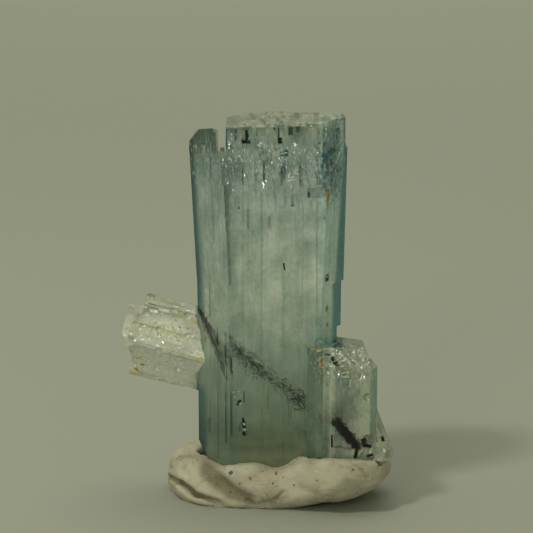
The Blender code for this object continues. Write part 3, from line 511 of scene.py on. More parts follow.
# Dark blue planes: cracks and growth breaks seen edge-on through the face
BLUE_MARKS = (
    (TALL, -3.80, -3.64, 44.45, 46.70, -0.30, 0.50, 0.0),
    (TALL, -2.75, -2.50, 45.30, 46.70, -0.34, 0.55, 0.0),
    (TALL, 5.95, 6.38, 38.45, 39.00, -0.22, 0.45, 0.0),
    (TALL, 5.95, 7.10, 39.35, 39.43, -0.08, 0.30, 0.0),
    (TALL, 0.70, 0.94, 40.57, 43.01, -0.05, 0.40, 1.0),
    (TALL, 2.88, 3.36, 40.20, 42.64, -0.08, 0.50, -1.0),
    (TALL, -1.84, -1.60, 39.95, 42.16, -0.05, 0.40, 0.5),
    (TALL, -1.25, -1.00, 34.54, 37.01, -0.08, 0.40, 0.0),
    (TALL, 1.31, 1.67, 34.54, 36.02, -0.10, 0.50, 0.0),
    (TALL, 3.49, 3.62, 37.40, 38.55, -0.10, 0.30, 0.0),
    (TALL, 3.55, 4.40, 37.36, 37.46, -0.10, 0.30, 0.0),
    (TALL, 7.40, 7.62, 41.18, 46.90, -0.05, 0.50, 0.0),
    (TALL, 7.95, 8.20, 42.77, 44.96, -0.08, 0.40, 0.0),
    (TALL, 8.44, 10.30, 41.40, 41.85, -0.10, 0.40, 0.0),
    (TALL, 8.30, 9.60, 43.60, 44.20, -0.10, 0.40, 12.0),
    (TALL, 7.75, 8.00, 41.60, 43.60, -0.04, 0.40, 0.0),
    (TALL, 8.10, 8.60, 41.90, 42.60, -0.06, 0.40, -20.0),
    (TALL, 9.70, 10.20, 45.60, 46.90, -0.12, 0.40, 6.0),
    (TALL, 8.90, 9.30, 42.10, 43.20, -0.10, 0.40, 5.0),
    (TALL, 2.75, 3.70, 43.40, 43.70, -0.02, 0.30, 14.0),
    (TALL, 2.75, 3.70, 43.95, 44.15, -0.02, 0.30, 10.0),
    (TALL, 5.10, 5.55, 39.80, 42.20, -0.08, 0.40, 0.0),
    (TALL, 3.80, 4.30, 46.10, 46.95, -0.28, 0.50, 0.0),
    (TALL, 4.70, 5.15, 46.40, 47.05, -0.28, 0.50, 0.0),
    (SHORT, 8.95, 9.05, 12.64, 15.78, -0.10, 0.40, 0.0),
    (TALL, -6.10, -5.92, 8.90, 10.90, -0.05, 0.30, 0.0),
    (TALL, -1.72, -1.54, 12.85, 14.20, -0.05, 0.40, 0.0),
    (TALL, -2.22, -2.10, 9.05, 9.90, -0.05, 0.30, 0.0),
)
# Iron stain in cracks and on ledges
STAINS = (
    (TALL, 8.47, 8.66, 37.25, 39.40, 0.04, 0.20, 0.0),
    (TALL, 8.40, 8.62, 24.30, 24.90, 0.04, 0.20, 0.0),
    (TALL, 8.50, 8.70, 22.40, 22.90, 0.04, 0.20, 0.0),
    (TALL, 4.24, 4.42, 43.52, 43.70, 0.05, 0.20, 0.0),
    (TALL, 5.88, 6.20, 46.60, 46.95, 0.04, 0.20, 0.0),
    (TALL, 8.05, 8.25, 35.75, 36.05, 0.05, 0.20, 0.0),
    (SHORT, 7.20, 7.80, 19.90, 20.20, 0.03, 0.20, 20.0),
    (SHORT, 7.53, 7.72, 18.00, 19.40, 0.03, 0.20, 0.0),
    (SHORT, 7.53, 7.74, 16.41, 16.91, 0.04, 0.20, 0.0),
    (SHORT, 10.68, 11.20, 17.56, 17.75, 0.04, 0.20, 0.0),
    (PALE, -15.30, -14.60, 15.90, 16.40, 0.04, 0.20, 20.0),
    (PALE, -14.60, -14.10, 16.60, 16.90, 0.04, 0.20, 0.0),
    (PALE, -9.75, -9.50, 21.43, 21.66, 0.03, 0.20, 0.0),
    (PALE, -8.76, -8.51, 21.30, 21.52, 0.03, 0.20, 0.0),
    (TALL, -7.40, -7.15, 43.30, 43.70, 0.03, 0.20, 0.0),
    (PALE, -6.62, -6.42, 19.60, 20.30, 0.03, 0.20, 0.0),
    (PALE, -6.72, -6.56, 20.90, 22.00, 0.03, 0.20, 6.0),
)
# Bright cracks that glint: near-white blocks set where glints are seen, partly real crack and
# partly painted highlight
GLINTS = (
    (TALL, 9.28, 10.40, 43.40, 43.56, 0.02, 0.20, 42.0),
    (TALL, 9.18, 9.85, 39.50, 39.90, -0.03, 0.20, 10.0),
    (TALL, -3.60, -3.10, 45.05, 45.20, 0.03, 0.20, -35.0),
    (TALL, 4.05, 4.50, 40.80, 41.02, 0.03, 0.20, 15.0),
    (TALL, 4.80, 5.10, 41.20, 41.40, 0.03, 0.20, -20.0),
    (TALL, 3.75, 4.65, 40.48, 40.60, 0.03, 0.20, 8.0),
    (TALL, -2.30, -2.00, 12.55, 12.68, 0.05, 0.20, 35.0),
    (TALL, -1.80, -1.50, 9.95, 10.10, 0.05, 0.20, -30.0),
    (TALL, -1.70, -1.45, 9.25, 9.38, 0.05, 0.20, 30.0),
    (TALL, 8.40, 8.60, 28.55, 28.68, 0.03, 0.20, 20.0),
    (TALL, 2.80, 3.60, 43.78, 43.86, 0.03, 0.20, 12.0),
    (SHORT, 9.85, 10.45, 19.50, 19.66, 0.03, 0.20, -30.0),
    (SHORT, 10.00, 10.50, 18.60, 18.78, 0.03, 0.20, 25.0),
    (SHORT, 10.25, 11.25, 17.28, 17.38, 0.03, 0.20, 12.0),
    (SHORT, 10.35, 11.15, 16.70, 16.80, 0.03, 0.20, -8.0),
    (SHORT, 8.85, 9.15, 18.00, 18.12, 0.03, 0.20, 15.0),
    (PALE, -13.40, -12.40, 23.40, 23.75, 0.04, 0.20, -12.0),
    (PALE, -12.20, -11.00, 23.45, 23.80, 0.04, 0.20, -14.0),
    (PALE, -11.60, -11.20, 22.90, 23.05, 0.04, 0.20, 15.0),
    (PALE, -16.20, -15.95, 20.60, 21.30, 0.04, 0.20, 12.0),
    (PALE, -15.10, -14.80, 21.70, 22.00, 0.04, 0.20, 40.0),
    (PALE, -13.10, -12.20, 20.10, 20.22, 0.04, 0.20, 14.0),
    (PALE, -10.45, -9.80, 23.95, 24.18, 0.04, 0.20, 15.0),
    (PALE, -8.86, -8.20, 23.50, 23.68, 0.03, 0.20, 15.0),
    (PALE, -13.90, -13.40, 22.95, 23.15, 0.03, 0.20, -50.0),
    (PALE, -11.10, -9.10, 18.70, 18.82, 0.03, 0.20, 14.0),
    (PALE, -10.80, -9.20, 16.50, 16.60, 0.03, 0.20, 15.0),
    (PALE, -15.90, -15.55, 20.40, 20.80, 0.03, 0.20, 30.0),
    (PALE, -15.40, -15.10, 19.70, 20.00, 0.03, 0.20, -30.0),
    (TALL, -3.05, -2.85, 14.00, 14.12, 0.03, 0.20, 20.0),
    (TALL, -2.45, -2.20, 14.12, 14.24, 0.03, 0.20, -25.0),
    (TALL, -2.85, -2.68, 13.40, 13.52, 0.03, 0.20, 35.0),
)

BERYL_IOR = 1.577
SCHORL_IOR = 1.65
# Colour of the tall crystal by height, in its pale and in its deep growth zones, and the height
# that their scale ends at
ZONES_END = 48.0
PALE_ZONES = ((6.0, "9AA68A"), (9.5, "B2BEAA"), (19.0, "D6E4DA"), (27.0, "FBFFF6"),
              (35.0, "FAFFFA"), (43.4, "EEFAFA"), (46.6, "E2ECD8"), (47.4, "E4E8C8"))
DEEP_ZONES = ((6.0, "879678"), (9.5, "8A9C8C"), (19.0, "A3B7AC"), (27.0, "C8DACE"),
              (35.0, "C0D6CE"), (43.4, "A2BEBE"), (46.6, "8FA49A"), (47.4, "566246"))


class AquamarineSettings(bpy.types.PropertyGroup):
    """Sizes and colours of the aquamarine."""
    edge: colour("Edge", "Blue under the outer edges of the tall crystal", "1A7288")
    lug: colour("Lug", "Colour of the lug at the upper left", "506660")
    # Painted shadow of the schorls: the beryl is darkened where they are seen through the faces
    schorl_shadow: colour("Schorl dust", "Colour of the beryl right beside the schorls", "4A544C")
    cool: colour("Right side", "Colour that cools the side that looks to the right", "A8E8EC")
    side: colour("Left side", "Colour that deepens the side that looks to the left", "6F9690")
    # The silvery cracks' colour also paints the highlight along the top face's front edge
    silver: colour("Silvery cracks", "Colour of tiny cracks that reflect light", "F2F6EC")
    gloom: colour("Dark cracks", "Colour of tiny cracks that swallow light", "33453F")
    left: colour("Left crystal", "Colour of the pale crystal on the left", "FFFFF6")
    straw: colour("Straw", "Yellowish streaks in the pale crystal", "DCD088")
    right: colour("Right crystal", "Colour of the short crystal on the right", "F6FAEA")
    right_deep: colour("Right crystal, deep", "Its deeper growth zones", "D2DCC8")
    # Painted shade on the short crystal, darkest round its left corner and low down
    corner: colour("Right crystal, corner", "Its deep green left corner", "7E907E")
    absorption: colour("Absorption", "Colour that long paths through the crystal take", "66E6E8")
    density: share("Density", "Absorption in each metre of crystal", 12.0, 1000.0)
    milkiness: share("Milkiness", "Share of light that the haze inside scatters", 0.30)
    lath_widest: length("Widest lath", "Width of the widest growth lath", 0.85)
    lath_relief: length("Lath relief", "How far the proudest growth lath stands out", 0.06)


def laths_tree():
    """Laths side by side on a face: X runs across it, Z up it, and Y into the crystal."""
    tree, given = new_tree("growth laths", [
        ("Low side", "Float"), ("High side", "Float"), ("Rise", "Float"), ("Count", "Int"),
        ("Narrowest", "Float"), ("Widest", "Float"), ("Shortest", "Float"), ("Longest", "Float"),
        ("Lowest relief", "Float"), ("Highest relief", "Float"), ("Sunk", "Float"),
        ("Pattern", "Int"), ("Surface", "Material")])
    index = node(tree, "GeometryNodeInputIndex")
    ids = node(tree, MATH, (given["Pattern"], PATTERN_STEP, index), operation="MULTIPLY_ADD")
    ranges = ((given["Narrowest"], given["Widest"]), (given["Shortest"], given["Longest"]),
              (given["Lowest relief"], given["Highest relief"]), (0.0, 1.0), (0.02, 0.98))
    width, tall, proud, climb, slide = (
        node(tree, "FunctionNodeRandomValue", {2: low, 3: high, "ID": ids, "Seed": seed}, 1,
             data_type="FLOAT")
        for seed, (low, high) in enumerate(ranges))
    span = node(tree, MATH, (given["High side"], given["Low side"]), operation="SUBTRACT")
    pitch = node(tree, MATH, (span, given["Count"]), operation="DIVIDE")
    start = node(tree, MATH, (index, pitch, given["Low side"]), operation="MULTIPLY_ADD")
    room = node(tree, MATH, (pitch, width), operation="SUBTRACT")
    left = node(tree, MATH, (room, slide, start), operation="MULTIPLY_ADD")
    across = node(tree, MATH, (width, 0.5, left), operation="MULTIPLY_ADD")
    headroom = node(tree, MATH, (given["Rise"], tall), operation="SUBTRACT")
    foot = node(tree, MATH, (headroom, climb), operation="MULTIPLY")
    height = node(tree, MATH, (tall, 0.5, foot), operation="MULTIPLY_ADD")
    thick = node(tree, MATH, (proud, given["Sunk"]), operation="ADD")
    depth = node(tree, MATH, (thick, -0.5, given["Sunk"]), operation="MULTIPLY_ADD")
    at = node(tree, "ShaderNodeCombineXYZ", (across, depth, height))
    size = node(tree, "ShaderNodeCombineXYZ", (width, thick, tall))
    row = node(tree, "GeometryNodeMeshLine", {"Count": given["Count"]})
    spread = node(tree, "GeometryNodeSetPosition", {"Geometry": row, "Position": at})
    cube = node(tree, "GeometryNodeMeshCube")
    laths = node(tree, "GeometryNodeInstanceOnPoints",
                 {"Points": spread, "Instance": cube, "Scale": size})
    end_tree(tree, laths, given["Surface"])
    return tree


def panel_frame(panel):
    """Placement of a face's panel: X across the face, Z up it, Y into the crystal."""
    azimuth, low_far, high_far, foot, head = PANELS[panel][:5]
    angle = math.radians(azimuth + TURN)
    outward = Vector((math.cos(angle), math.sin(angle), 0.0))
    across = Vector((-outward.y, outward.x, 0.0))
    axis = Vector((AXIS_X, 0.0, 0.0))
    low = axis + outward * low_far + Vector((0.0, 0.0, foot))
    high = axis + outward * high_far + Vector((0.0, 0.0, head))
    up = (high - low).normalized()
    turned = Matrix((across, up.cross(across), up)).transposed().to_4x4()
    return Matrix.Translation(place(low)) @ turned


def left_panel_frame(number):
    """Placement of a panel on a side of the left crystal, Z along its axis."""
    tilt = math.radians(LEFT_TILT)
    along = Vector((-math.cos(tilt), 0.0, math.sin(tilt)))
    up = Vector((math.sin(tilt), 0.0, math.cos(tilt)))
    whole = Matrix((up.cross(along), up, along)).transposed()
    angle = math.radians(LEFT_TURN + 60.0 * number)
    outward = whole @ Vector((math.cos(angle), math.sin(angle), 0.0))
    low = LEFT_SEAT + outward * LEFT_FACETS[number] + along * LEFT_PANEL[0]
    turned = Matrix((along.cross(outward), -outward, along)).transposed().to_4x4()
    return Matrix.Translation(place(low)) @ turned


def panel_laths(tree, name, placement, rise, sides, pattern, values):
    """One row of laths on a flat face."""
    made = grow(name, tree, {
        "Low side": sides[0] * MM, "High side": sides[1] * MM, "Rise": rise * MM,
        "Count": max(2, round((sides[1] - sides[0]) / LATH_PITCH)), "Pattern": pattern,
        **values})
    made.data.transform(placement)
    return made


def joined(pieces):
    """Several objects' meshes as one object."""
    shape = bmesh.new()
    for piece in pieces:
        shape.from_mesh(piece.data)
        bpy.data.objects.remove(piece, do_unlink=True)
    return add_object("joined", mesh_of("joined", shape))


def combine(target, tool, operation):
    """Join a tool to the target or cut it out, and remove it."""
    modifier = target.modifiers.new("combine", "BOOLEAN")
    modifier.operation = operation
    modifier.object = tool
    modifier.solver = "EXACT"
    modifier.use_self = True
    target.data = applied(target)
    bpy.data.objects.remove(tool, do_unlink=True)


def merged_copy(name):
    """A CAD node's solid as a bmesh with its doubled corners merged."""
    shape = shape_of(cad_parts[name].data)
    bmesh.ops.remove_doubles(shape, verts=shape.verts, dist=DOUBLES)
    return shape


# A bore's wall: how far its corners lie from the axis, as a share of its radius, and how far the
# wall reaches before the schorl's outer end and beyond its inner one, in metres
WALL_NEAREST, WALL_FURTHEST = 0.93, 1.02
WALL_BEFORE, WALL_BEYOND = 0.002, 0.001


def close_bore(shape, needle):
    """Take the clearance bore round a schorl out of the crystal, so that no tunnel shows."""
    outer, inner, radius = needle
    start = place(outer)
    run = place(inner) - start
    along = run.normalized()
    reach = (radius + GAP) * MM

    def on_wall(vertex):
        offset = vertex.co - start
        travel = offset.dot(along)
        away = (offset - along * travel).length / reach
        return (WALL_NEAREST < away < WALL_FURTHEST
                and -WALL_BEFORE < travel < run.length + WALL_BEYOND)

    walls = [face for face in shape.faces if all(on_wall(vertex) for vertex in face.verts)]
    if not walls:
        raise RuntimeError("no bore found round a schorl")
    bmesh.ops.delete(shape, geom=walls, context="FACES")
    rim = [edge for edge in shape.edges if edge.is_boundary]
    filled = bmesh.ops.holes_fill(shape, edges=rim, sides=0)
    bmesh.ops.triangulate(shape, faces=filled["faces"])


def tidy(made):
    """Merge doubled corners, drop faces without area and split the others into triangles."""
    shape = shape_of(made.data)
    bmesh.ops.remove_doubles(shape, verts=shape.verts, dist=DOUBLES)
    bmesh.ops.dissolve_degenerate(shape, dist=DOUBLES, edges=shape.edges)
    bmesh.ops.triangulate(shape, faces=shape.faces)
    shape.to_mesh(made.data)
    shape.free()


# Where the schorls are seen through the faces: both ends as X and Z, and the distances from
# that line within which the beryl is darkened by painted shadow and at which it is plain again
SEEN_SCHORLS = (
    (Vector((-3.5, 0.0, 20.0)), Vector((6.4, 0.0, 11.8)), 0.05, 1.00),
    (Vector((-7.5, 0.0, 23.9)), Vector((-3.6, 0.0, 17.0)), 0.20, 0.60),
    (Vector((9.3, 0.0, 11.6)), Vector((12.8, 0.0, 7.4)), 0.50, 0.85),
)


def along_line(tree, point, wavering, start, end, near, far):
    """A mask along a line in the view, 1 on it and 0 beyond its width and its ends."""
    run = end - start
    side = Vector((-run.z, 0.0, run.x)).normalized()
    from_start = node(tree, VECTOR_MATH, (point, start), operation="SUBTRACT")
    along, across = (
        node(tree, VECTOR_MATH, (from_start, way), "Value", operation="DOT_PRODUCT")
        for way in (run.normalized(), side))
    shifted = node(tree, MATH, (across, wavering), operation="ADD")
    away = node(tree, MATH, (shifted,), operation="ABSOLUTE")
    close = node(tree, RANGE, (away, far, near))
    begun = node(tree, RANGE, (along, 0.0, 0.4))
    ended = node(tree, RANGE, (along, run.length, run.length - 0.6))
    within = node(tree, MATH, (begun, ended), operation="MULTIPLY")
    return node(tree, MATH, (close, within), operation="MULTIPLY")


def crystal_place(tree, where):
    """Where a point lies in the table's millimetres, and which crystal it belongs to."""
    moved = node(tree, VECTOR_MATH, (where, SHIFT), operation="SUBTRACT")
    mm = node(tree, VECTOR_MATH, {0: moved, "Scale": 1.0 / MM}, operation="SCALE")
    x, y, z = node(tree, "ShaderNodeSeparateXYZ", (mm,), None).outputs
    beyond_left = node(tree, RANGE, (x, -7.65, -7.95))
    # The pale crystal also stands out in front of the side that looks to the left, at 212 degrees
    side_far = node(tree, VECTOR_MATH, (mm, (-0.848, -0.530, 0.0)), "Value",
                    operation="DOT_PRODUCT")
    off_side = node(tree, RANGE, (side_far, 6.62, 6.70))
    near_growth = node(tree, RANGE, (y, -3.6, -3.3))
    before_side = node(tree, MATH, (off_side, near_growth), operation="MULTIPLY")
    off_tall = node(tree, MATH, (beyond_left, before_side), operation="MAXIMUM")
    below_seat = node(tree, RANGE, (z, 26.6, 26.2))
    on_left = node(tree, MATH, (off_tall, below_seat), operation="MULTIPLY")
    in_front = node(tree, RANGE, (y, -6.85, -7.1))
    beside = node(tree, RANGE, (x, 10.45, 10.75))
    below_top = node(tree, RANGE, (z, 21.5, 21.2))
    low_beside = node(tree, MATH, (beside, below_top), operation="MULTIPLY")
    on_right = node(tree, MATH, (in_front, low_beside), operation="MAXIMUM")
    return SimpleNamespace(mm=mm, x=x, y=y, z=z, on_left=on_left, on_right=on_right)


def crystal_patterns(tree, at):
    """Noise that the colour, the haze and the relief share, some drawn out along the crystals."""
    # The pale crystal's axis, along which its grain is drawn out eight times, and square to it
    along, up = (
        node(tree, VECTOR_MATH, (at.mm, way), "Value", operation="DOT_PRODUCT")
        for way in ((-0.116, 0.0, 0.031), (0.259, 0.0, 0.966)))
    left_grain = node(tree, "ShaderNodeCombineXYZ", (up, at.y, along))
    upright_grain = node(tree, VECTOR_MATH, (at.mm, (1.0, 1.0, 0.22)), operation="MULTIPLY")
    at.grain = node(tree, MIX, {0: at.on_left, 4: upright_grain, 5: left_grain}, 1,
                    data_type="VECTOR")
    at.short_grain = node(tree, VECTOR_MATH, (at.mm, (1.0, 1.0, 0.45)), operation="MULTIPLY")
    at.striae, at.bands, at.clouds, at.mottle = (
        node(tree, NOISE, {"Vector": vector, "Scale": scale, "Detail": detail})
        for vector, scale, detail in ((at.grain, 4.0, 4.0), (at.grain, 1.1, 3.0),
                                      (at.mm, 0.30, 5.0), (at.mm, 1.7, 4.0)))
    at.cracks = node(tree, NOISE, {
        "Vector": at.short_grain, "Scale": 3.0, "Detail": 4.0, "Roughness": 0.6})


def beside_schorls(tree, at):
    """How near a point is to the schorls as they are seen through the faces."""
    wavering = node(tree, RANGE, (at.mottle, 0.3, 0.7, -0.4, 0.4))
    at.near_inner, at.near_outer, at.near_rod = (
        along_line(tree, at.mm, wavering, *line) for line in SEEN_SCHORLS)
    near_needle = node(tree, MATH, (at.near_inner, at.near_outer), operation="MAXIMUM")
    near_schorl = node(tree, MATH, (near_needle, at.near_rod), operation="MAXIMUM")
    at.less_near = node(tree, RANGE, (near_schorl, 0.0, 1.0, 1.0, 0.06))


def tall_colour(tree, at, settings):
    """The tall crystal's colour up its height, in a pale and a deep growth zone."""
    rise = node(tree, MATH, (at.z, 1.0 / ZONES_END), operation="MULTIPLY")
    zones = []
    for stops in (PALE_ZONES, DEEP_ZONES):
        ramp = node(tree, "ShaderNodeValToRGB", (rise,), None)
        elements = ramp.color_ramp.elements
        while len(elements) < len(stops):
            elements.new(1.0)
        for element, (height, code) in zip(elements, stops):
            element.position = height / ZONES_END
            element.color = rgba(linear(code))
        zones.append(ramp.outputs[0])
    fine_tone = node(tree, MATH, (at.striae, 0.35), operation="MULTIPLY")
    band_tone = node(tree, MATH, (at.bands, 1.0, fine_tone), operation="MULTIPLY_ADD")
    at.tone = node(tree, MATH, (at.clouds, 1.0, band_tone), operation="MULTIPLY_ADD")
    side_tone = node(tree, RANGE, (at.tone, 0.80, 1.55))
    # The laths end on the top face, and a painted highlight runs pale along its front edge
    near_top = node(tree, RANGE, (at.z, 46.90, 47.0))
    off_front = node(tree, RANGE, (at.y, -6.47, -6.42))
    on_top = node(tree, MATH, (near_top, off_front), operation="MULTIPLY")
    lath_ends = node(tree, VECTOR_MATH, (at.mm, (1.0, 0.12, 1.0)), operation="MULTIPLY")
    end_noise = node(tree, NOISE, {"Vector": lath_ends, "Scale": 1.5, "Detail": 4.0})
    end_tone = node(tree, RANGE, (end_noise, 0.40, 0.55))
    tone = node(tree, MIX, {0: on_top, 2: side_tone, 3: end_tone}, data_type="FLOAT")
    zoned = node(tree, MIX, {0: tone, 6: zones[1], 7: zones[0]}, 2, data_type="RGBA")
    front_rim = node(tree, RANGE, (at.y, -5.4, -5.9, 0.0, 0.55))
    at.rim = node(tree, MATH, (front_rim, on_top), operation="MULTIPLY")
    return node(tree, MIX, {0: at.rim, 6: zoned, 7: rgba(settings.silver)}, 2, data_type="RGBA")


def blue_zones(tree, at):
    """The blue under the outer edges, below the broken corner and in veins high up."""
    left_edge = node(tree, RANGE, (at.z, 27.2, 43.9, -7.50, -8.42))
    left_in = node(tree, MATH, (at.x, left_edge), operation="SUBTRACT")
    wider_low = node(tree, RANGE, (at.z, 15.0, 12.5, 0.0, 0.35))
    left_near = node(tree, MATH, (left_in, wider_low), operation="SUBTRACT")
    left_rim = node(tree, RANGE, (left_near, 1.10, 0.20), interpolation_type="SMOOTHSTEP")
    # It fades where the pale crystal grew through the left edge
    above_growth = node(tree, MATH, (at.z, 18.0), operation="SUBTRACT")
    growth_far = node(tree, MATH, (above_growth,), operation="ABSOLUTE")
    beyond_growth = node(tree, RANGE, (growth_far, 4.0, 5.2, 0.2))
    left_blue = node(tree, MATH, (left_rim, beyond_growth), operation="MULTIPLY")
    # The right edge has a step
    right_lean = node(tree, RANGE, (at.z, 27.2, 43.9, 10.0, 10.95))
    step_in = node(tree, RANGE, (at.z, 27.1, 27.3, 0.30, 0.0))
    right_edge = node(tree, MATH, (right_lean, step_in), operation="SUBTRACT")
    right_in = node(tree, MATH, (right_edge, at.x), operation="SUBTRACT")
    right_blue = node(tree, RANGE, (right_in, 0.65, 0.10, 0.0, 0.98),
                      interpolation_type="SMOOTHSTEP")
    edge_blue = node(tree, MATH, (left_blue, right_blue), operation="MAXIMUM")
    uneven = node(tree, RANGE, (at.bands, 0.35, 0.62, 0.97))
    at.edge_share = node(tree, MATH, (edge_blue, uneven), operation="MULTIPLY")
    from_patch = node(tree, VECTOR_MATH, (at.mm, (9.0, -4.0, 42.6)), operation="SUBTRACT")
    patch_shape = node(tree, VECTOR_MATH, (from_patch, (0.5, 0.22, 0.21)), operation="MULTIPLY")
    patch_far = node(tree, VECTOR_MATH, (patch_shape,), "Value", operation="LENGTH")
    patch_edge = node(tree, MATH, (at.mottle, 1.6, patch_far), operation="MULTIPLY_ADD")
    at.patch = node(tree, RANGE, (patch_edge, 2.0, 1.3, 0.0, 0.78))
    edge_or_patch = node(tree, MATH, (at.edge_share, at.patch), operation="MAXIMUM")
    upper = node(tree, RANGE, (at.z, 31.0, 39.0))
    veins = node(tree, RANGE, (at.bands, 0.53, 0.66, 0.0, 0.42))
    upper_veins = node(tree, MATH, (veins, upper), operation="MULTIPLY")
    at.blue_share = node(tree, MATH, (edge_or_patch, upper_veins), operation="MAXIMUM")


def short_colour(tree, at, settings):
    """The short crystal's colour, with painted shade making it deep green round its left corner
    and most of all low down.
    """
    tone = node(tree, RANGE, (at.tone, 0.90, 1.40))
    plain = node(tree, MIX, {
        0: tone, 6: rgba(settings.right_deep), 7: rgba(settings.right)}, 2, data_type="RGBA")
    # Painted shade: full beyond the left corner, and beside it low down
    round_corner = node(tree, RANGE, (at.x, 8.15, 7.95))
    corner_fades = node(tree, RANGE, (at.x, 9.5, 8.6))
    corner_depth = node(tree, RANGE, (at.z, 10.6, 9.0, 0.6))
    beside_corner = node(tree, MATH, (corner_fades, corner_depth), operation="MULTIPLY")
    shaded = node(tree, MATH, (round_corner, beside_corner), operation="MAXIMUM")
    return node(tree, MIX, {0: shaded, 6: plain, 7: rgba(settings.corner)}, 2, data_type="RGBA")


def tint_shares(tree, at):
    """How deep the lug, the painted shadow beside the schorls and the side that looks to the left
    are.
    """
    lug_side = node(tree, RANGE, (at.x, -4.3, -5.2))
    lug_foot = node(tree, RANGE, (at.z, 42.4, 44.6))
    lug = node(tree, MATH, (lug_side, lug_foot), operation="MULTIPLY")
    lug_share = node(tree, MATH, (lug, 0.94), operation="MULTIPLY")
    # Painted shadow along the schorls as they are seen through the faces
    faint = node(tree, MATH, (at.near_inner, 0.45), operation="MULTIPLY")
    medium = node(tree, MATH, (at.near_outer, 0.60, faint), operation="MULTIPLY_ADD")
    schorl_shadow = node(tree, MATH, (at.near_rod, 0.85, medium), operation="MULTIPLY_ADD",
                use_clamp=True)
    turned_left = node(tree, RANGE, (at.x, -2.3, -2.9))
    off_pale = node(tree, RANGE, (at.on_left, 0.0, 1.0, 1.0, 0.0))
    tall_side = node(tree, MATH, (turned_left, off_pale), operation="MULTIPLY")
    high_side = node(tree, RANGE, (at.z, 20.0, 26.0, 0.0, 0.38))
    low_side = node(tree, RANGE, (at.z, 14.0, 11.5, 0.0, 0.45))
    side_depth = node(tree, MATH, (high_side, low_side), operation="MAXIMUM")
    left_side = node(tree, MATH, (tall_side, side_depth), operation="MULTIPLY")
    spare_blue = node(tree, RANGE, (at.edge_share, 0.0, 1.0, 1.0, 0.0))
    side_share = node(tree, MATH, (left_side, spare_blue), operation="MULTIPLY")
    return lug_share, schorl_shadow, side_share


def tiny_cracks(tree, at):
    """Cracks, some silvery and some dark, crowded near the top and on the broken ends."""
    crowd_above = node(tree, RANGE, (at.z, 38.0, 41.5, 0.04, 0.9))
    crowd_below = node(tree, RANGE, (at.z, 45.6, 44.2, 0.25))
    crowd_top = node(tree, MATH, (crowd_above, crowd_below), operation="MULTIPLY")
    short_top = node(tree, RANGE, (at.z, 15.5, 18.5, 0.15))
    crowd_short = node(tree, MATH, (at.on_right, short_top), operation="MULTIPLY")
    left_end = node(tree, RANGE, (at.x, -9.0, -15.0, 0.75))
    crowd_left = node(tree, MATH, (at.on_left, left_end), operation="MULTIPLY")
    crowd_low = node(tree, MATH, (crowd_short, crowd_left), operation="MAXIMUM")
    at.crowd_ends = node(tree, MATH, (crowd_low, at.patch), operation="MAXIMUM")
    crowd_any = node(tree, MATH, (crowd_top, at.crowd_ends), operation="MAXIMUM")
    patchy = node(tree, RANGE, (at.clouds, 0.40, 0.56, 0.35))
    at.crowd = node(tree, MATH, (crowd_any, patchy), operation="MULTIPLY")
    silver = node(tree, RANGE, (at.cracks, 0.55, 0.60, 0.0, 0.9))
    at.silver_share = node(tree, MATH, (silver, at.crowd), operation="MULTIPLY")
    gloom = node(tree, RANGE, (at.cracks, 0.43, 0.37, 0.0, 0.85))
    pale_spared = node(tree, RANGE, (at.on_left, 0.0, 1.0, 1.0, 0.08))
    gloom_here = node(tree, MATH, (gloom, at.crowd), operation="MULTIPLY")
    at.gloom_share = node(tree, MATH, (gloom_here, pale_spared), operation="MULTIPLY")
    at.cracked = node(tree, MATH, (at.silver_share, at.gloom_share), operation="MAXIMUM")


def crystal_colour(tree, at, settings):
    """The crystals' colours, each share's colour laid over those before it."""
    straw = node(tree, RANGE, (at.bands, 0.52, 0.66, 0.0, 0.7))
    pale = node(tree, MIX, {
        0: straw, 6: rgba(settings.left), 7: rgba(settings.straw)}, 2, data_type="RGBA")
    base = tall_colour(tree, at, settings)
    short = short_colour(tree, at, settings)
    lug_share, schorl_shadow, side_share = tint_shares(tree, at)
    for share_here, tint in (
            (at.turned_right, rgba(settings.cool)), (at.blue_share, rgba(settings.edge)),
            (at.on_left, pale), (at.on_right, short), (lug_share, rgba(settings.lug)),
            (schorl_shadow, rgba(settings.schorl_shadow)), (side_share, rgba(settings.side)),
            (at.silver_share, rgba(settings.silver)), (at.gloom_share, rgba(settings.gloom))):
        base = node(tree, MIX, {0: share_here, 6: base, 7: tint}, 2, data_type="RGBA")
    return base


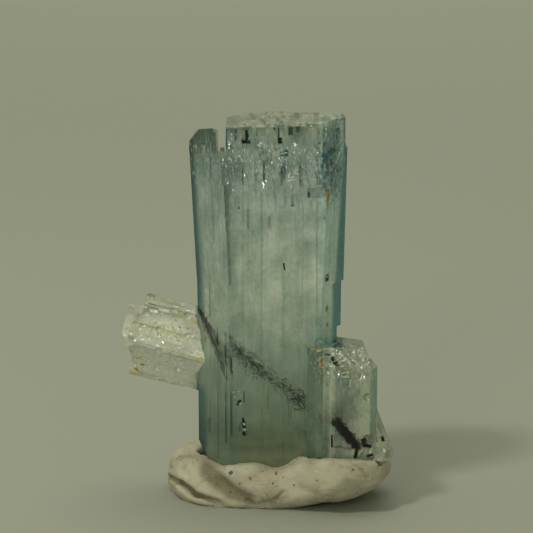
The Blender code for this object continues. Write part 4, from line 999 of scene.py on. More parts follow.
def crystal_haze(tree, at, settings):
    """How much light the milky inside scatters instead of letting it through."""
    drawn = node(tree, MATH, (at.bands, 0.25, at.clouds), operation="MULTIPLY_ADD")
    fine = node(tree, MATH, (at.striae, 0.12, drawn), operation="MULTIPLY_ADD")
    hazy = node(tree, MATH, (at.mottle, 0.45, fine), operation="MULTIPLY_ADD")
    veined = node(tree, RANGE, (
        hazy, 0.60, 1.26, 0.4 * settings.milkiness, 1.6 * settings.milkiness))
    heart = node(tree, RANGE, (at.z, 15.0, 27.0, 0.5, 1.4), interpolation_type="SMOOTHSTEP")
    heart_haze = node(tree, MATH, (veined, heart), operation="MULTIPLY")
    foot_haze = node(tree, RANGE, (at.z, 9.5, 6.0, 0.0, 0.55))
    low_haze = node(tree, MATH, (heart_haze, foot_haze), operation="MAXIMUM")
    # The painted highlight on the top face's front edge is hazier too
    rimmed = node(tree, MATH, (low_haze, at.rim), operation="MAXIMUM")
    side_haze = node(tree, RANGE, (at.turned_right, 0.0, 0.3, 1.0, 1.6))
    tall = node(tree, MATH, (rimmed, side_haze), operation="MULTIPLY")
    pale, plain_short = (
        node(tree, RANGE, (hazy, 0.7, 1.1, *ends)) for ends in ((0.38, 0.86), (0.36, 0.66)))
    milkier = node(tree, RANGE, (at.x, 8.4, 9.4, 1.0, 1.5))
    milky_short = node(tree, MATH, (plain_short, milkier), operation="MULTIPLY")
    crust = node(tree, RANGE, (at.z, 19.2, 19.9, 0.0, 0.8))
    short = node(tree, MATH, (milky_short, crust), operation="MAXIMUM")
    tall_or_pale = node(tree, MIX, {0: at.on_left, 2: tall, 3: pale}, data_type="FLOAT")
    of_any = node(tree, MIX, {0: at.on_right, 2: tall_or_pale, 3: short}, data_type="FLOAT")
    less_blue = node(tree, RANGE, (at.blue_share, 0.0, 1.0, 1.0, 0.25))
    clear_blue = node(tree, MATH, (of_any, less_blue), operation="MULTIPLY")
    clear_near = node(tree, MATH, (clear_blue, at.less_near), operation="MULTIPLY")
    return node(tree, MATH, (clear_near, at.cracked), operation="MAXIMUM")


def crystal_relief(tree, at):
    """The way the surface faces: ridges, pits, broken shells and the cracks' own facets."""
    thread = node(tree, VECTOR_MATH, (at.grain, (1.0, 1.0, 0.3)), operation="MULTIPLY")
    # Striations about 0.12 mm apart
    ridges = node(tree, NOISE, {"Vector": thread, "Scale": 8.0, "Detail": 3.0})
    shells = node(tree, "ShaderNodeTexVoronoi", {"Vector": at.mm, "Scale": 1.3})
    broken_at = node(tree, MATH, (at.crowd_ends, 2.6), operation="MULTIPLY")
    broken = node(tree, MATH, (shells, broken_at, ridges), operation="MULTIPLY_ADD")
    pitted = node(tree, MATH, (at.mottle, 0.5, broken), operation="MULTIPLY_ADD")
    crack_depth = node(tree, MATH, (at.crowd, 7.0), operation="MULTIPLY")
    pocks = node(tree, MATH, (at.cracks, crack_depth, pitted), operation="MULTIPLY_ADD")
    bump = node(tree, "ShaderNodeBump", {
        "Height": pocks, "Strength": 0.42, "Distance": 0.03 * MM})
    facets = node(tree, "ShaderNodeTexVoronoi", {"Vector": at.short_grain, "Scale": 6.5}, "Color")
    either_way = node(tree, VECTOR_MATH, (facets, (0.5, 0.5, 0.5)), operation="SUBTRACT")
    tilt = node(tree, MATH, (at.cracked, 1.8), operation="MULTIPLY")
    tilted = node(tree, VECTOR_MATH, {0: either_way, "Scale": tilt}, operation="SCALE")
    leaning = node(tree, VECTOR_MATH, (bump, tilted), operation="ADD")
    return node(tree, VECTOR_MATH, (leaning,), operation="NORMALIZE")


def aquamarine_material(settings):
    """
    Beryl, grown from a melt-rich fluid: glassy faces with fine lengthwise striations, a milky
    haze inside, blue zones under the outer edges and a darker foot.
    """
    made, tree, shader, where = new_material("aquamarine_beryl")
    at = crystal_place(tree, where)
    crystal_patterns(tree, at)
    beside_schorls(tree, at)
    blue_zones(tree, at)
    tiny_cracks(tree, at)
    # The side that looks to the right is cooler and milkier
    at.turned_right = node(tree, RANGE, (at.x, 6.6, 8.4, 0.0, 0.3))
    base = crystal_colour(tree, at, settings)
    clear = node(tree, MATH, (1.0, crystal_haze(tree, at, settings)), operation="SUBTRACT")
    etched = node(tree, RANGE, (at.mottle, 0.35, 0.7, 0.05, 0.17))
    rough = node(tree, MATH, (etched, at.less_near), operation="MULTIPLY")
    # A crack full of air throws the light back like a mirror
    mirror = node(tree, RANGE, (at.on_left, 0.0, 1.0, 1.0, 0.6))
    mirrored = node(tree, MATH, (at.silver_share, mirror), operation="MULTIPLY")
    plug(tree, shader, {
        "Base Color": base, "Metallic": mirrored, "Roughness": rough, "IOR": BERYL_IOR,
        "Normal": crystal_relief(tree, at), "Transmission Weight": clear})
    volume = node(tree, "ShaderNodeVolumeAbsorption", {
        "Color": rgba(settings.absorption), "Density": settings.density})
    plug(tree, tree.get_output_node("ALL"), {"Volume": volume})
    return made


CRYSTALS = "aquamarine_group"
# Ripples of a shell-shaped chip: their length and height as shares of its radius
RIPPLE_LENGTH, RIPPLE_HEIGHT = 0.30, 0.07
FLAT_ANGLE = 0.01         # faces of the solid that meet at less than this, in radians, are one


def chip_cutter(sight, number, plane, x, z, radius, depth):
    """A rippled ball that takes a shell-shaped chip out of the face seen at a place."""
    spot, normal = sight.meet(plane, x, z)
    shape = bmesh.new()
    bmesh.ops.create_icosphere(shape, subdivisions=3, radius=radius * MM)
    for vertex in shape.verts:
        ripple = noise.noise(
            vertex.co / (RIPPLE_LENGTH * radius * MM) + Vector((number, 0.0, 0.0)))
        vertex.co *= 1.0 + RIPPLE_HEIGHT * ripple
    bmesh.ops.translate(shape, verts=shape.verts, vec=spot + normal * (radius - depth) * MM)
    return add_object("chip", mesh_of("chip", shape))


def schorl_material():
    """Black tourmaline: brittle black prisms, grooved along their length, glassy on the faces."""
    made, tree, shader, where = new_material("schorl_tourmaline")
    run = (NEEDLE[1] - NEEDLE[0]).normalized()
    along = node(tree, VECTOR_MATH, (where, run), "Value", operation="DOT_PRODUCT")
    shrunk = node(tree, VECTOR_MATH, {0: run, "Scale": along}, operation="SCALE")
    across = node(tree, VECTOR_MATH, (where, shrunk), operation="SUBTRACT")
    # Grooves about 0.08 mm apart
    grooves = node(tree, NOISE, {"Vector": across, "Scale": 12.0 / MM, "Detail": 2.0})
    flecks = node(tree, NOISE, {"Vector": where, "Scale": 4.0 / MM, "Detail": 3.0})
    brown = node(tree, RANGE, (flecks, 0.55, 0.72))
    base = node(tree, MIX, {
        0: brown, 6: rgba(linear("0B0C0A")), 7: rgba(linear("2B2519"))}, 2, data_type="RGBA")
    gloss = node(tree, RANGE, (flecks, 0.3, 0.7, 0.22, 0.5))
    bump = node(tree, "ShaderNodeBump", {
        "Height": grooves, "Strength": 0.6, "Distance": 0.02 * MM})
    plug(tree, shader, {
        "Base Color": base, "Roughness": gloss, "IOR": SCHORL_IOR, "Specular IOR Level": 0.3,
        "Normal": bump})
    return made


def blue_material():
    """Cracks and growth breaks in the beryl, which send back only the crystal's own deep blue."""
    return mottled_material(
        "blue_growth_break", (linear("16526A"), linear("3F7A8C")), (3.0, 3.0), (0.40, 0.62),
        (0.20, 0.45), (0.4, 0.02), stretch=(1.0, 1.0, 0.15))


def stain_material():
    """Limonite, the rust that ground water leaves in cracks: matt, ochre to orange."""
    return mottled_material(
        "limonite_stain", (linear("9A6C30"), linear("B8AA66")), (2.2, 4.0), (0.42, 0.60),
        (0.60, 0.90), (0.7, 0.03))


def glint_material():
    """Air-filled cracks in the beryl: they throw back nearly all light, silvery white; being
    near-white and half mirror, they are partly a painted highlight.
    """
    return mottled_material(
        "air_crack_and_painted_glint", (linear("D9E4DF"), linear("FBFCF8")), (6.0, 2.0), (0.35, 0.65),
        (0.12, 0.40), (0.8, 0.05), metallic=0.5)


# Each kind of mark: its look, its rows and how uneven its blocks are, in millimetres
MARKS = {
    "schorl_in_faces": (schorl_material, BLACK_MARKS, 0.16),
    "blue_growth_breaks": (blue_material, BLUE_MARKS, 0.12),
    "limonite_stains": (stain_material, STAINS, 0.22),
    "bright_cracks": (glint_material, GLINTS, 0.20),
}


class CRYSTAL_OT_aquamarine(bpy.types.Operator):
    """Build the aquamarine: tall crystal, pale crystal, short crystal and wedge, grown as one"""
    bl_idname = "crystal.aquamarine"
    bl_label = "Aquamarine"

    def execute(self, context):
        shape = merged_copy("aquamarine")
        for needle in (NEEDLE, ROD):
            close_bore(shape, needle)
        bmesh.ops.dissolve_limit(
            shape, angle_limit=FLAT_ANGLE, verts=shape.verts, edges=shape.edges)
        bmesh.ops.triangulate(shape, faces=shape.faces)
        settings = context.scene.aquamarine
        surface = aquamarine_material(settings)
        made = link_mesh(CRYSTALS, shape, surface)
        sight = Sight(made)
        tree = laths_tree()
        laths = {
            "Narrowest": 0.12 * MM, "Widest": settings.lath_widest, "Shortest": 4.0 * MM,
            "Longest": 15.0 * MM, "Lowest relief": 0.012 * MM,
            "Highest relief": settings.lath_relief, "Sunk": 0.4 * MM, "Surface": surface}
        rows = []
        for number, (panel, (*_, foot, head, low, high)) in enumerate(PANELS.items()):
            relief = settings.lath_relief * (FLATTER if panel.startswith("left_front") else 1.0)
            rows.append(panel_laths(
                tree, panel, panel_frame(panel), head - foot, (low, high), number,
                {**laths, "Highest relief": relief}))
        short_laths = {**laths, "Shortest": 3.0 * MM, "Longest": 7.5 * MM}
        for number in range(len(LEFT_FACETS)):
            foot, head, low, high = LEFT_PANEL
            rows.append(panel_laths(
                tree, "left_laths", left_panel_frame(number), head - foot, (low, high),
                len(PANELS) + number, short_laths))
        combine(made, joined(rows), "UNION")
        stones = blocks_tree()
        combine(made, blocks(sight, stones, STEPS, surface), "UNION")
        cutters = [blocks(sight, stones, HOLLOWS, surface)]
        cutters.extend(chip_cutter(sight, number, *chip) for number, chip in enumerate(CHIPS))
        combine(made, joined(cutters), "DIFFERENCE")
        tidy(made)
        finish_piece(made, ["aquamarine"])
        for name, (look, rows, unevenness) in MARKS.items():
            marks = blocks(sight, stones, rows, look(), unevenness, cuts=4)
            rename(marks, name)
            finish_piece(marks)
        return {"FINISHED"}


# Schorl

# Sprays of schorl needles: start, end, spread at the start and at the end, how many, how far
# they stray from the run, shortest and longest, thinnest and thickest radius
SPRAYS = {
    "schorl_needle_bundle": (
        ((-7.75, 0.55, 23.85), (-4.2, -0.85, 20.65), (0.12, 0.12, 0.12), (0.22, 0.22, 0.22),
         46, 0.05, 1.6, 3.6, 0.035, 0.11),
        ((-4.6, -0.7, 21.0), (1.0, -2.9, 16.1), (0.35, 0.4, 0.40), (0.75, 0.7, 0.9),
         120, 0.60, 0.3, 1.3, 0.02, 0.045),
        ((0.5, -2.7, 16.6), (6.3, -4.9, 11.6), (0.65, 0.7, 0.8), (0.8, 0.6, 1.1),
         130, 0.75, 0.3, 1.2, 0.015, 0.045),
    ),
    "schorl_rod_bundle": (
        ((12.0, -9.02, 8.0), (9.5, -8.6, 11.1), (0.36, 0.10, 0.42), (0.42, 0.20, 0.46),
         44, 0.06, 1.0, 2.4, 0.16, 0.36),
    ),
    "schorl_moss": (
        ((-4.3, -6.30, 43.3), (-1.7, -6.35, 40.6), (0.5, 0.2, 0.9), (0.5, 0.2, 0.9),
         90, 1.0, 0.06, 0.30, 0.02, 0.06),
        ((0.8, -6.35, 43.8), (4.6, -6.30, 42.6), (0.8, 0.2, 0.8), (0.8, 0.2, 1.2),
         60, 0.6, 0.08, 0.40, 0.02, 0.05),
        ((8.4, -4.9, 44.0), (9.6, -4.2, 41.4), (0.7, 0.8, 1.0), (0.7, 0.8, 1.0),
         60, 1.0, 0.08, 0.35, 0.02, 0.06),
        ((13.0, -7.9, 8.2), (13.9, -7.6, 8.6), (0.5, 0.6, 0.7), (0.4, 0.6, 0.6),
         120, 1.5, 0.15, 0.55, 0.04, 0.12),
        ((-7.50, 0.2, 23.6), (-3.5, -4.5, 16.5), (0.08, 0.10, 0.10), (0.24, 0.20, 0.45),
         120, 0.04, 1.0, 2.8, 0.05, 0.15),
        ((-7.45, 0.1, 23.5), (-5.0, -2.8, 19.5), (0.05, 0.05, 0.10), (0.10, 0.10, 0.20),
         56, 0.02, 1.2, 2.6, 0.12, 0.22),
        ((-4.5, -1.2, 20.3), (0.0, -3.2, 16.4), (0.7, 0.5, 0.9), (1.1, 0.8, 1.3),
         420, 1.5, 0.12, 0.6, 0.012, 0.035),
        ((4.6, -4.6, 13.6), (6.6, -5.0, 12.6), (0.5, 0.5, 0.9), (0.5, 0.5, 1.0),
         180, 1.5, 0.15, 0.5, 0.02, 0.06),
        ((8.3, -8.6, 11.6), (8.8, -8.4, 11.2), (0.35, 0.4, 0.6), (0.5, 0.5, 0.6),
         90, 1.5, 0.2, 0.7, 0.03, 0.09),
    ),
}
# Flakes of air in cracks, in the same form as the sprays
FLAKES = (
    ((-15.8, -1.0, 20.2), (-13.6, -1.0, 22.6), (0.8, 1.6, 2.0), (0.8, 1.2, 1.2),
     110, 1.6, 0.02, 0.05, 0.06, 0.20),
    ((-14.5, -0.6, 23.4), (-8.0, -0.6, 22.2), (0.5, 1.8, 0.7), (0.5, 1.8, 0.7),
     120, 1.6, 0.02, 0.05, 0.05, 0.17),
    ((-14.5, 0.0, 17.5), (-8.5, 0.0, 16.6), (1.0, 2.5, 2.2), (1.0, 2.5, 2.2),
     90, 1.6, 0.02, 0.05, 0.04, 0.13),
    ((8.6, -7.6, 18.6), (11.2, -7.6, 17.6), (0.9, 1.3, 0.9), (0.9, 1.3, 1.2),
     110, 1.6, 0.02, 0.05, 0.05, 0.17),
    ((12.8, -7.6, 7.2), (15.2, -7.4, 8.6), (0.7, 0.8, 0.9), (0.5, 0.8, 1.0),
     60, 1.6, 0.02, 0.05, 0.04, 0.13),
    ((-3.6, -6.2, 42.6), (-1.0, -6.2, 42.6), (1.0, 0.25, 1.2), (1.0, 0.25, 1.2),
     140, 1.6, 0.02, 0.05, 0.05, 0.15),
    ((0.8, -6.2, 42.8), (4.8, -6.2, 41.4), (1.0, 0.25, 1.4), (1.0, 0.25, 1.4),
     160, 1.6, 0.02, 0.05, 0.05, 0.16),
    ((8.2, -4.4, 46.4), (9.8, -4.2, 44.6), (0.9, 0.8, 0.9), (0.8, 0.8, 0.9),
     120, 1.6, 0.02, 0.05, 0.06, 0.20),
    ((8.6, -4.4, 43.6), (9.4, -4.2, 39.0), (0.9, 0.8, 1.2), (0.8, 0.8, 1.2),
     120, 1.6, 0.02, 0.05, 0.05, 0.15),
)
# Hollow growth tubes along the tall crystal
TUBES = (
    ((-5.0, -2.0, 36.0), (7.5, -2.0, 36.0), (1.6, 3.8, 8.5), (1.6, 3.8, 8.5),
     170, 0.0, 1.5, 7.0, 0.015, 0.035),
    ((-4.5, -2.0, 14.0), (7.5, -2.0, 14.0), (1.6, 3.8, 8.0), (1.6, 3.8, 8.0),
     60, 0.0, 1.5, 5.0, 0.015, 0.03),
)

NEEDLE_SIDES = 5
CLEARANCE = 0.04          # between a needle's ends and the faces that it stays under
# Sprays that take the place of a CAD node
STAND_INS = {"schorl_needle_bundle": ["schorl_needle"], "schorl_rod_bundle": ["schorl_rod"]}


def spray(tree, name, rows, surface, body, upright=False):
    """Grow sprays inside a body and join them into one piece."""
    parts = []
    for pattern, row in enumerate(rows):
        start, end, start_spread, end_spread, amount, wander, low, high, thin, thick = row
        parts.append(grow(name, tree, {
            "Start": place(start), "End": place(end),
            "Start spread": Vector(start_spread) * MM, "End spread": Vector(end_spread) * MM,
            "Count": amount, "Wander": wander,
            "Run": Vector((0.0, 0.0, 1.0)) if upright else Vector(end) - Vector(start),
            "Shortest": low * MM, "Longest": high * MM, "Thinnest": thin * MM,
            "Thickest": thick * MM, "Sides": NEEDLE_SIDES, "Clearance": CLEARANCE * MM,
            "Pattern": pattern, "Body": body, "Surface": surface}))
    made = joined(parts)
    rename(made, name)
    made.data.materials.append(surface)
    return made


class CRYSTAL_OT_schorl(bpy.types.Operator):
    """Grow the black tourmalines: a needle bundle with moss round it, and a thick rod"""
    bl_idname = "crystal.schorl"
    bl_label = "Schorl"

    def execute(self, context):
        surface = schorl_material()
        body = bpy.data.objects[CRYSTALS]
        tree = spray_tree()
        for name, rows in SPRAYS.items():
            made = spray(tree, name, rows, surface, body)
            finish_piece(made, STAND_INS.get(name, ()))
        bright = glint_material()
        finish_piece(spray(tree, "air_flakes", FLAKES, bright, body))
        tubes = spray(tree, "growth_tubes", TUBES, bright, body, upright=True)
        finish_piece(tubes)
        return {"FINISHED"}


# Mineral tack

TACK_PLANE = -11.5        # plane of the numbers below, where the putty's side faces the viewer

# Folds of the kneaded putty as seen: corners, half width and depth
FOLDS = (
    (((-10.7, 4.7), (-9.3, 4.0), (-7.5, 2.5), (-4.9, 1.5)), 0.30, 0.55),
    (((-1.3, 1.5), (0.8, 0.7)), 0.22, 0.35),
    (((0.5, 1.5), (2.1, 1.9), (3.2, 2.9)), 0.16, 0.16),
    (((-6.1, 5.7), (-3.3, 2.8), (-1.2, 1.8)), 1.00, 0.50),
    (((-7.6, 5.5), (-5.2, 3.4)), 0.14, 0.08),
    (((8.3, 1.6), (9.6, 3.0)), 0.07, 0.05),
    (((8.6, 1.5), (10.1, 2.9)), 0.07, 0.05),
    (((7.9, 1.7), (9.0, 3.0)), 0.07, 0.04),
    (((-0.8, 2.0), (-0.1, 3.2)), 0.06, 0.05),
    (((-0.5, 2.1), (0.0, 2.9)), 0.06, 0.04),
    (((1.4, 5.2), (1.0, 4.2), (0.2, 3.2)), 0.08, 0.05),
    (((12.6, 5.6), (13.6, 4.6)), 0.18, 0.14),
    (((-9.4, 6.9), (-8.9, 6.3)), 0.14, 0.12),
    (((5.5, 3.4), (7.5, 2.6)), 0.35, 0.08),
)
SWELLING, SWELLS_AT = 0.25, 2.2   # beside a fold, as shares of its depth and half width
# Unevenness of the kneaded putty: how long and how high each kind of swell is
SWELLS = ((3.4, 0.26), (1.3, 0.10), (0.5, 0.035))
# Seams on the sides that the viewer doesn't see: how long they wind, how deep and how narrow they
# are, and where in the noise they lie
SEAM_LENGTH, SEAM_DEPTH, SEAM_WIDTH = 6.0, 0.14, 0.05
SEAM_START = Vector((7.0, 3.0, 5.0))
TOUCHING = 0.33           # putty no further than this from a crystal lies all on it
SKIN = 0.02               # and stays this far off it
FLAT_BELOW = 0.12         # the underside is pressed flat up to this height,
EASES_IN = (0.1, 1.3)     # and the kneading grows from nothing to full between these
# Grains pressed into the putty: their colour, and their rows in the form of the crystal's marks
# without the plane
GRAINS = {
    "blue_grey_grains": ("55646A", (
        (-3.45, -3.00, 5.05, 5.45, 0.05, 0.25, 20.0),
        (-3.40, -3.20, 2.75, 2.95, 0.04, 0.20, 0.0),
        (3.10, 3.25, 4.60, 4.75, 0.04, 0.20, 0.0))),
    "brown_grains": ("B5702F", (
        (-1.02, -0.72, 4.40, 4.72, 0.05, 0.25, 10.0),
        (0.55, 0.72, 5.35, 5.48, 0.04, 0.20, 0.0),
        (-9.90, -9.30, 7.10, 7.25, 0.04, 0.20, 20.0))),
    "red_grains": ("A3523A", (
        (2.18, 2.42, 4.95, 5.45, 0.05, 0.25, -8.0),
        (4.40, 4.58, 3.60, 3.78, 0.04, 0.20, 0.0),
        (11.50, 11.85, 5.55, 5.72, 0.03, 0.20, 0.0))),
    "yellow_grains": ("B9A53C", (
        (-1.42, -1.22, 5.62, 5.82, 0.05, 0.25, 0.0),
        (-8.42, -8.18, 7.40, 7.60, 0.04, 0.20, 0.0),
        (-7.40, -7.20, 6.65, 6.85, 0.04, 0.20, 0.0),
        (-7.95, -7.75, 6.45, 6.62, 0.04, 0.20, 0.0))),
    "dark_grains": ("4A4A34", (
        (1.78, 1.95, 3.75, 4.00, 0.04, 0.20, 0.0),
        (-2.20, -2.05, 3.80, 3.95, 0.04, 0.20, 0.0),
        (7.20, 7.32, 4.20, 4.32, 0.04, 0.20, 0.0))),
}


class TackSettings(bpy.types.PropertyGroup):
    """Sizes and colours of the mineral tack."""
    body: colour("Body", "Colour of the clean putty", "C3BDAA")
    worn: colour("Handled", "Colour of the handled, dusty putty", "AEA995")
    # Painted shade in the folds takes this colour, and so do the dust specks and wrinkle lines
    fold: colour("Folds", "Colour down in the folds", "6E6950")
    cell: length("Mesh size", "Size of the mesh that the putty is shaped in", 0.22)
    contact: length("Contact", "Putty this near to a crystal is pressed on to it", 0.50)


def tack_material(settings):
    """Butyl putty kneaded by hand: dull beige grey, skin-printed, dusty, and darker in its folds,
    which is painted shade.
    """
    made, tree, shader, where = new_material("tack_putty")
    patches, specks, skin = (
        node(tree, NOISE, {"Vector": where, "Scale": scale / MM, "Detail": detail})
        for scale, detail in ((0.35, 4.0), (7.0, 3.0), (3.2, 5.0)))
    worn = node(tree, RANGE, (patches, 0.38, 0.64))
    mixed = node(tree, MIX, {0: worn, 6: rgba(settings.body), 7: rgba(settings.worn)}, 2,
                 data_type="RGBA")
    dusty = node(tree, RANGE, (specks, 0.62, 0.74, 0.0, 0.5))
    fold = node(tree, "ShaderNodeAttribute", output="Fac", attribute_name="fold")
    # Painted shade, as deep as the folds
    deep = node(tree, RANGE, (fold, 0.0, 0.30, 0.0, 0.75))
    # Wrinkles about 0.1 mm wide, where the putty was stretched
    stretched = node(tree, VECTOR_MATH, (where, (0.6, 0.6, 1.0)), operation="MULTIPLY")
    waves = node(tree, NOISE, {
        "Vector": stretched, "Scale": 0.8 / MM, "Detail": 4.0, "Distortion": 0.6})
    from_line = node(tree, MATH, (waves, 0.5), operation="SUBTRACT")
    off_line = node(tree, MATH, (from_line,), operation="ABSOLUTE")
    lines = node(tree, RANGE, (off_line, 0.020, 0.002))
    pulled = node(tree, RANGE, (patches, 0.46, 0.56))
    wrinkles = node(tree, MATH, (lines, pulled), operation="MULTIPLY")
    lined = node(tree, MATH, (wrinkles, 0.4, dusty), operation="MULTIPLY_ADD", use_clamp=True)
    dark = node(tree, MATH, (lined, deep), operation="MAXIMUM")
    base = node(tree, MIX, {0: dark, 6: mixed, 7: rgba(settings.fold)}, 2, data_type="RGBA")
    rough = node(tree, RANGE, (patches, 0.3, 0.7, 0.62, 0.85))
    relief = node(tree, MATH, (wrinkles, -0.5, skin), operation="MULTIPLY_ADD")
    bump = node(tree, "ShaderNodeBump", {
        "Height": relief, "Strength": 0.7, "Distance": 0.10 * MM})
    plug(tree, shader, {"Base Color": base, "Roughness": rough, "Normal": bump})
    return made


def grain_material(name, code):
    """Grit that the putty picked up: dull, in one colour with darker sides."""
    middle = Vector(linear(code))
    return mottled_material(
        name, (middle * 0.55, middle * 1.1), (5.0, 2.0), (0.35, 0.65), (0.5, 0.8), (0.5, 0.03))


def remeshed(source, cell):
    """A solid's surface as an even mesh of small faces."""
    modifier = source.modifiers.new("even mesh", "REMESH")
    modifier.mode = "VOXEL"
    modifier.voxel_size = cell
    return shape_of(applied(source))


def away_from(spot, corners):
    """Distance in the view from a place to a line through corners."""
    nearest = math.inf
    for start, end in zip(corners, corners[1:]):
        start, run = Vector(start), Vector(end) - Vector(start)
        along = max(0.0, min(1.0, (spot - start).dot(run) / run.length_squared))
        nearest = min(nearest, (spot - start - run * along).length)
    return nearest


def fold_at(spot):
    """How deep the folds are at a place in the view, with the swelling beside them."""
    depth = 0.0
    for corners, width, deepest in FOLDS:
        away = away_from(spot, corners) / width
        depth += deepest * (math.exp(-away ** 2) - SWELLING * math.exp(-(away - SWELLS_AT) ** 2))
    return depth


def eased(value, low, high):
    """0 below the low value, 1 above the high one, and a smooth rise between them."""
    part = max(0.0, min(1.0, (value - low) / (high - low)))
    return part * part * (3.0 - 2.0 * part)


def kneaded(shape, sight, crystal, contact):
    """Dent, fold and wrinkle the putty and press it on the crystal. Gives each point's fold."""
    low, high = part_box("mineral_tack")
    shape.normal_update()
    folds, moved = [], []
    for vertex in shape.verts:
        spot, normal = vertex.co.copy(), vertex.normal
        table = (spot - SHIFT) / MM
        swell = sum(height * noise.noise(table / long) for long, height in SWELLS)
        if normal.dot(sight.eye - spot) > 0.0:
            fold = fold_at(sight.seen_at(spot, TACK_PLANE))
        else:
            seam = noise.noise(table / SEAM_LENGTH + SEAM_START)
            fold = SEAM_DEPTH * math.exp(-(seam / SEAM_WIDTH) ** 2)
        found, facing, _, far = crystal.find_nearest(spot)
        pressed = 1.0 - eased(far, TOUCHING * MM, contact)
        free = eased(table.z, *EASES_IN) * (1.0 - pressed)
        spot += normal * (swell - fold) * free * MM
        spot = spot.lerp(found + facing * SKIN * MM, pressed)
        for axis in range(3):
            spot[axis] = max(low[axis], min(high[axis], spot[axis]))
        if table.z < FLAT_BELOW:
            spot.z = low.z
        moved.append(spot)
        folds.append(max(0.0, fold) * free)
    for vertex, spot in zip(shape.verts, moved):
        vertex.co = spot
    return folds


class CRYSTAL_OT_tack(bpy.types.Operator):
    """Shape the kneaded lump of mineral tack with the grains that it picked up"""
    bl_idname = "crystal.tack"
    bl_label = "Mineral tack"

    def execute(self, context):
        settings = context.scene.tack
        sight = Sight(bpy.data.objects[CRYSTALS])
        surface = tack_material(settings)
        source = link_mesh("tack_source", merged_copy("mineral_tack"), surface)
        shape = remeshed(source, settings.cell)
        bpy.data.objects.remove(source, do_unlink=True)
        folds = kneaded(shape, sight, sight.faces, settings.contact)
        made = link_mesh("tack_lump", shape, surface, smooth=True)
        # Each point's fold depth, which the putty's material turns into painted shade
        made.data.attributes.new("fold", "FLOAT", "POINT").data.foreach_set("value", folds)
        finish_piece(made, ["mineral_tack"])
        on_tack = Sight(made)
        stones = blocks_tree()
        for name, (code, rows) in GRAINS.items():
            grains = blocks(on_tack, stones, [(TACK_PLANE, *row) for row in rows],
                            grain_material(name, code), unevenness=0.12, cuts=4, grain=4.0)
            rename(grains, name)
            finish_piece(grains)
        return {"FINISHED"}


# Stage


class StageSettings(bpy.types.PropertyGroup):
    """Floor, lights and camera."""
    floor: colour("Floor", "Colour of the plain floor", "A8ABA3")
    surround: colour("Surround", "Colour of the soft light from all round", "8F927C")
    surround_strength: share("Surround strength", "Strength of that light", 1.0, 10.0)
    lamps: colour("Lamps", "Colour of the lamps' light", "FFFCE8")
    distance: length("Camera distance", "From the camera to the middle of the view", 278.0)
    elevation: bpy.props.FloatProperty(
        name="Elevation", description="Angle of the camera above the horizon",
        default=math.radians(11.0), subtype="ANGLE", unit="ROTATION")


VIEW_MIDDLE = (1.125, 0.0, 28.63)
# The photograph's width and the distance to its plane, in its own pixels, and the sensor's width
PHOTO_WIDTH, PHOTO_DISTANCE, SENSOR_WIDTH = 533.0, 2224.0, 36.0
SEES_FROM, SEES_TO = 0.01, 20.0   # what the camera takes in, in metres before it
FLOOR_REACH = 4.0         # from the middle of the floor to its sides, in metres
FLOOR_DROP = 0.00002      # of the floor below the tack, in metres
# The lamps: place, the point that they face, width and height, and power in watts
CRYSTALS_MIDDLE = (1.0, 0.0, 22.0)
LAMPS = {
    "overhead_softbox": ((0, 700, 1500), (0, 700, 0), (1600, 1200), 9.6),
    "key_lamp": ((-150, -130, 330), CRYSTALS_MIDDLE, (45, 45), 0.42),
    "front_softbox": ((-140, -420, 170), CRYSTALS_MIDDLE, (120, 120), 0.30),
}


def camera_place(settings):
    """Where the camera stands, in metres."""
    back = Vector((0.0, -math.cos(settings.elevation), math.sin(settings.elevation)))
    return place(VIEW_MIDDLE) + back * settings.distance


def add_lamp(name, at, target, size, power, tint):
    """A soft rectangular lamp that faces a point."""
    lamp = bpy.data.lights.new(name, "AREA")
    lamp.shape = "RECTANGLE"
    lamp.size, lamp.size_y = size[0] * MM, size[1] * MM
    lamp.energy = power
    lamp.color = tint
    made = add_object(name, lamp)
    made.location = place(at)
    made.rotation_euler = (place(target) - place(at)).to_track_quat("-Z", "Y").to_euler()


def paper_material(settings):
    """Uncoated backdrop paper: matt, with painted light and shade, a little deeper in tone near
    the viewer and lighter further away.
    """
    made, tree, shader, where = new_material("floor_paper")
    depth = node(tree, "ShaderNodeSeparateXYZ", (where,), 1)
    # Painted light fall-off: the floor is darker near the viewer and lighter further back
    near = node(tree, RANGE, (depth, 0.15, -0.04, 0.0, 0.13))
    far = node(tree, RANGE, (depth, 0.15, 0.90, 0.0, 0.20))
    painted_falloff = node(tree, MATH, (far, near), operation="SUBTRACT")
    shade = node(tree, MATH, (painted_falloff, 1.0), operation="ADD")
    base = node(tree, VECTOR_MATH, {0: settings.floor, "Scale": shade}, operation="SCALE")
    plug(tree, shader, {"Base Color": base, "Roughness": 0.9, "Specular IOR Level": 0.2})
    return made


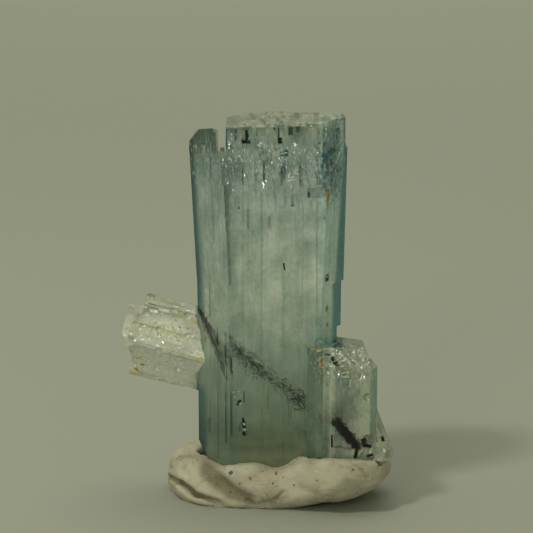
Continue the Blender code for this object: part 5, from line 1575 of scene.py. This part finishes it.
class CRYSTAL_OT_stage(bpy.types.Operator):
    """Set up the plain floor, the soft studio light and the camera"""
    bl_idname = "crystal.stage"
    bl_label = "Stage"

    def execute(self, context):
        settings = context.scene.stage
        shape = bmesh.new()
        bmesh.ops.create_grid(shape, x_segments=1, y_segments=1, size=FLOOR_REACH)
        floor = link_mesh("floor", shape, paper_material(settings))
        floor.location.z = -FLOOR_DROP

        world = bpy.data.worlds.new("studio")
        world.use_nodes = True
        plug(world.node_tree, world.node_tree.nodes["Background"], {
            "Color": rgba(settings.surround), "Strength": settings.surround_strength})
        context.scene.world = world
        for name, lamp in LAMPS.items():
            add_lamp(name, *lamp, settings.lamps)

        camera = add_object("camera", bpy.data.cameras.new("camera"))
        camera.location = camera_place(settings)
        camera.rotation_euler = (math.pi / 2.0 - settings.elevation, 0.0, 0.0)
        camera.data.sensor_width = SENSOR_WIDTH
        camera.data.lens = PHOTO_DISTANCE / PHOTO_WIDTH * SENSOR_WIDTH
        camera.data.clip_start, camera.data.clip_end = SEES_FROM, SEES_TO
        context.scene.camera = camera
        context.scene.view_settings.view_transform = "Standard"
        return {"FINISHED"}


class CRYSTAL_PT_panel(bpy.types.Panel):
    """The crystal group's operators"""
    bl_idname = "CRYSTAL_PT_panel"
    bl_label = "Aquamarine crystal"
    bl_space_type = "VIEW_3D"
    bl_region_type = "UI"
    bl_category = "Crystal"

    def draw(self, context):
        for operator in OPERATORS:
            self.layout.operator(operator.bl_idname)
        for name in SETTINGS:
            box = self.layout.box()
            group = getattr(context.scene, name)
            for prop in group.__annotations__:
                box.prop(group, prop)


SETTINGS = {
    "aquamarine": AquamarineSettings,
    "tack": TackSettings,
    "stage": StageSettings,
}
OPERATORS = (CRYSTAL_OT_aquamarine, CRYSTAL_OT_schorl, CRYSTAL_OT_tack, CRYSTAL_OT_stage)


def register():
    """Register the settings, the operators and the panel."""
    for group in SETTINGS.values():
        bpy.utils.register_class(group)
    for operator in OPERATORS:
        bpy.utils.register_class(operator)
    bpy.utils.register_class(CRYSTAL_PT_panel)
    for name, group in SETTINGS.items():
        setattr(bpy.types.Scene, name, bpy.props.PointerProperty(type=group))


def unregister():
    """Take everything out again."""
    for name in SETTINGS:
        delattr(bpy.types.Scene, name)
    bpy.utils.unregister_class(CRYSTAL_PT_panel)
    for operator in reversed(OPERATORS):
        bpy.utils.unregister_class(operator)
    for group in reversed(list(SETTINGS.values())):
        bpy.utils.unregister_class(group)


def main():
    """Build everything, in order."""
    register()
    for operator in OPERATORS:
        group, name = operator.bl_idname.split(".")
        getattr(getattr(bpy.ops, group), name)()


if __name__ == "__main__":
    main()
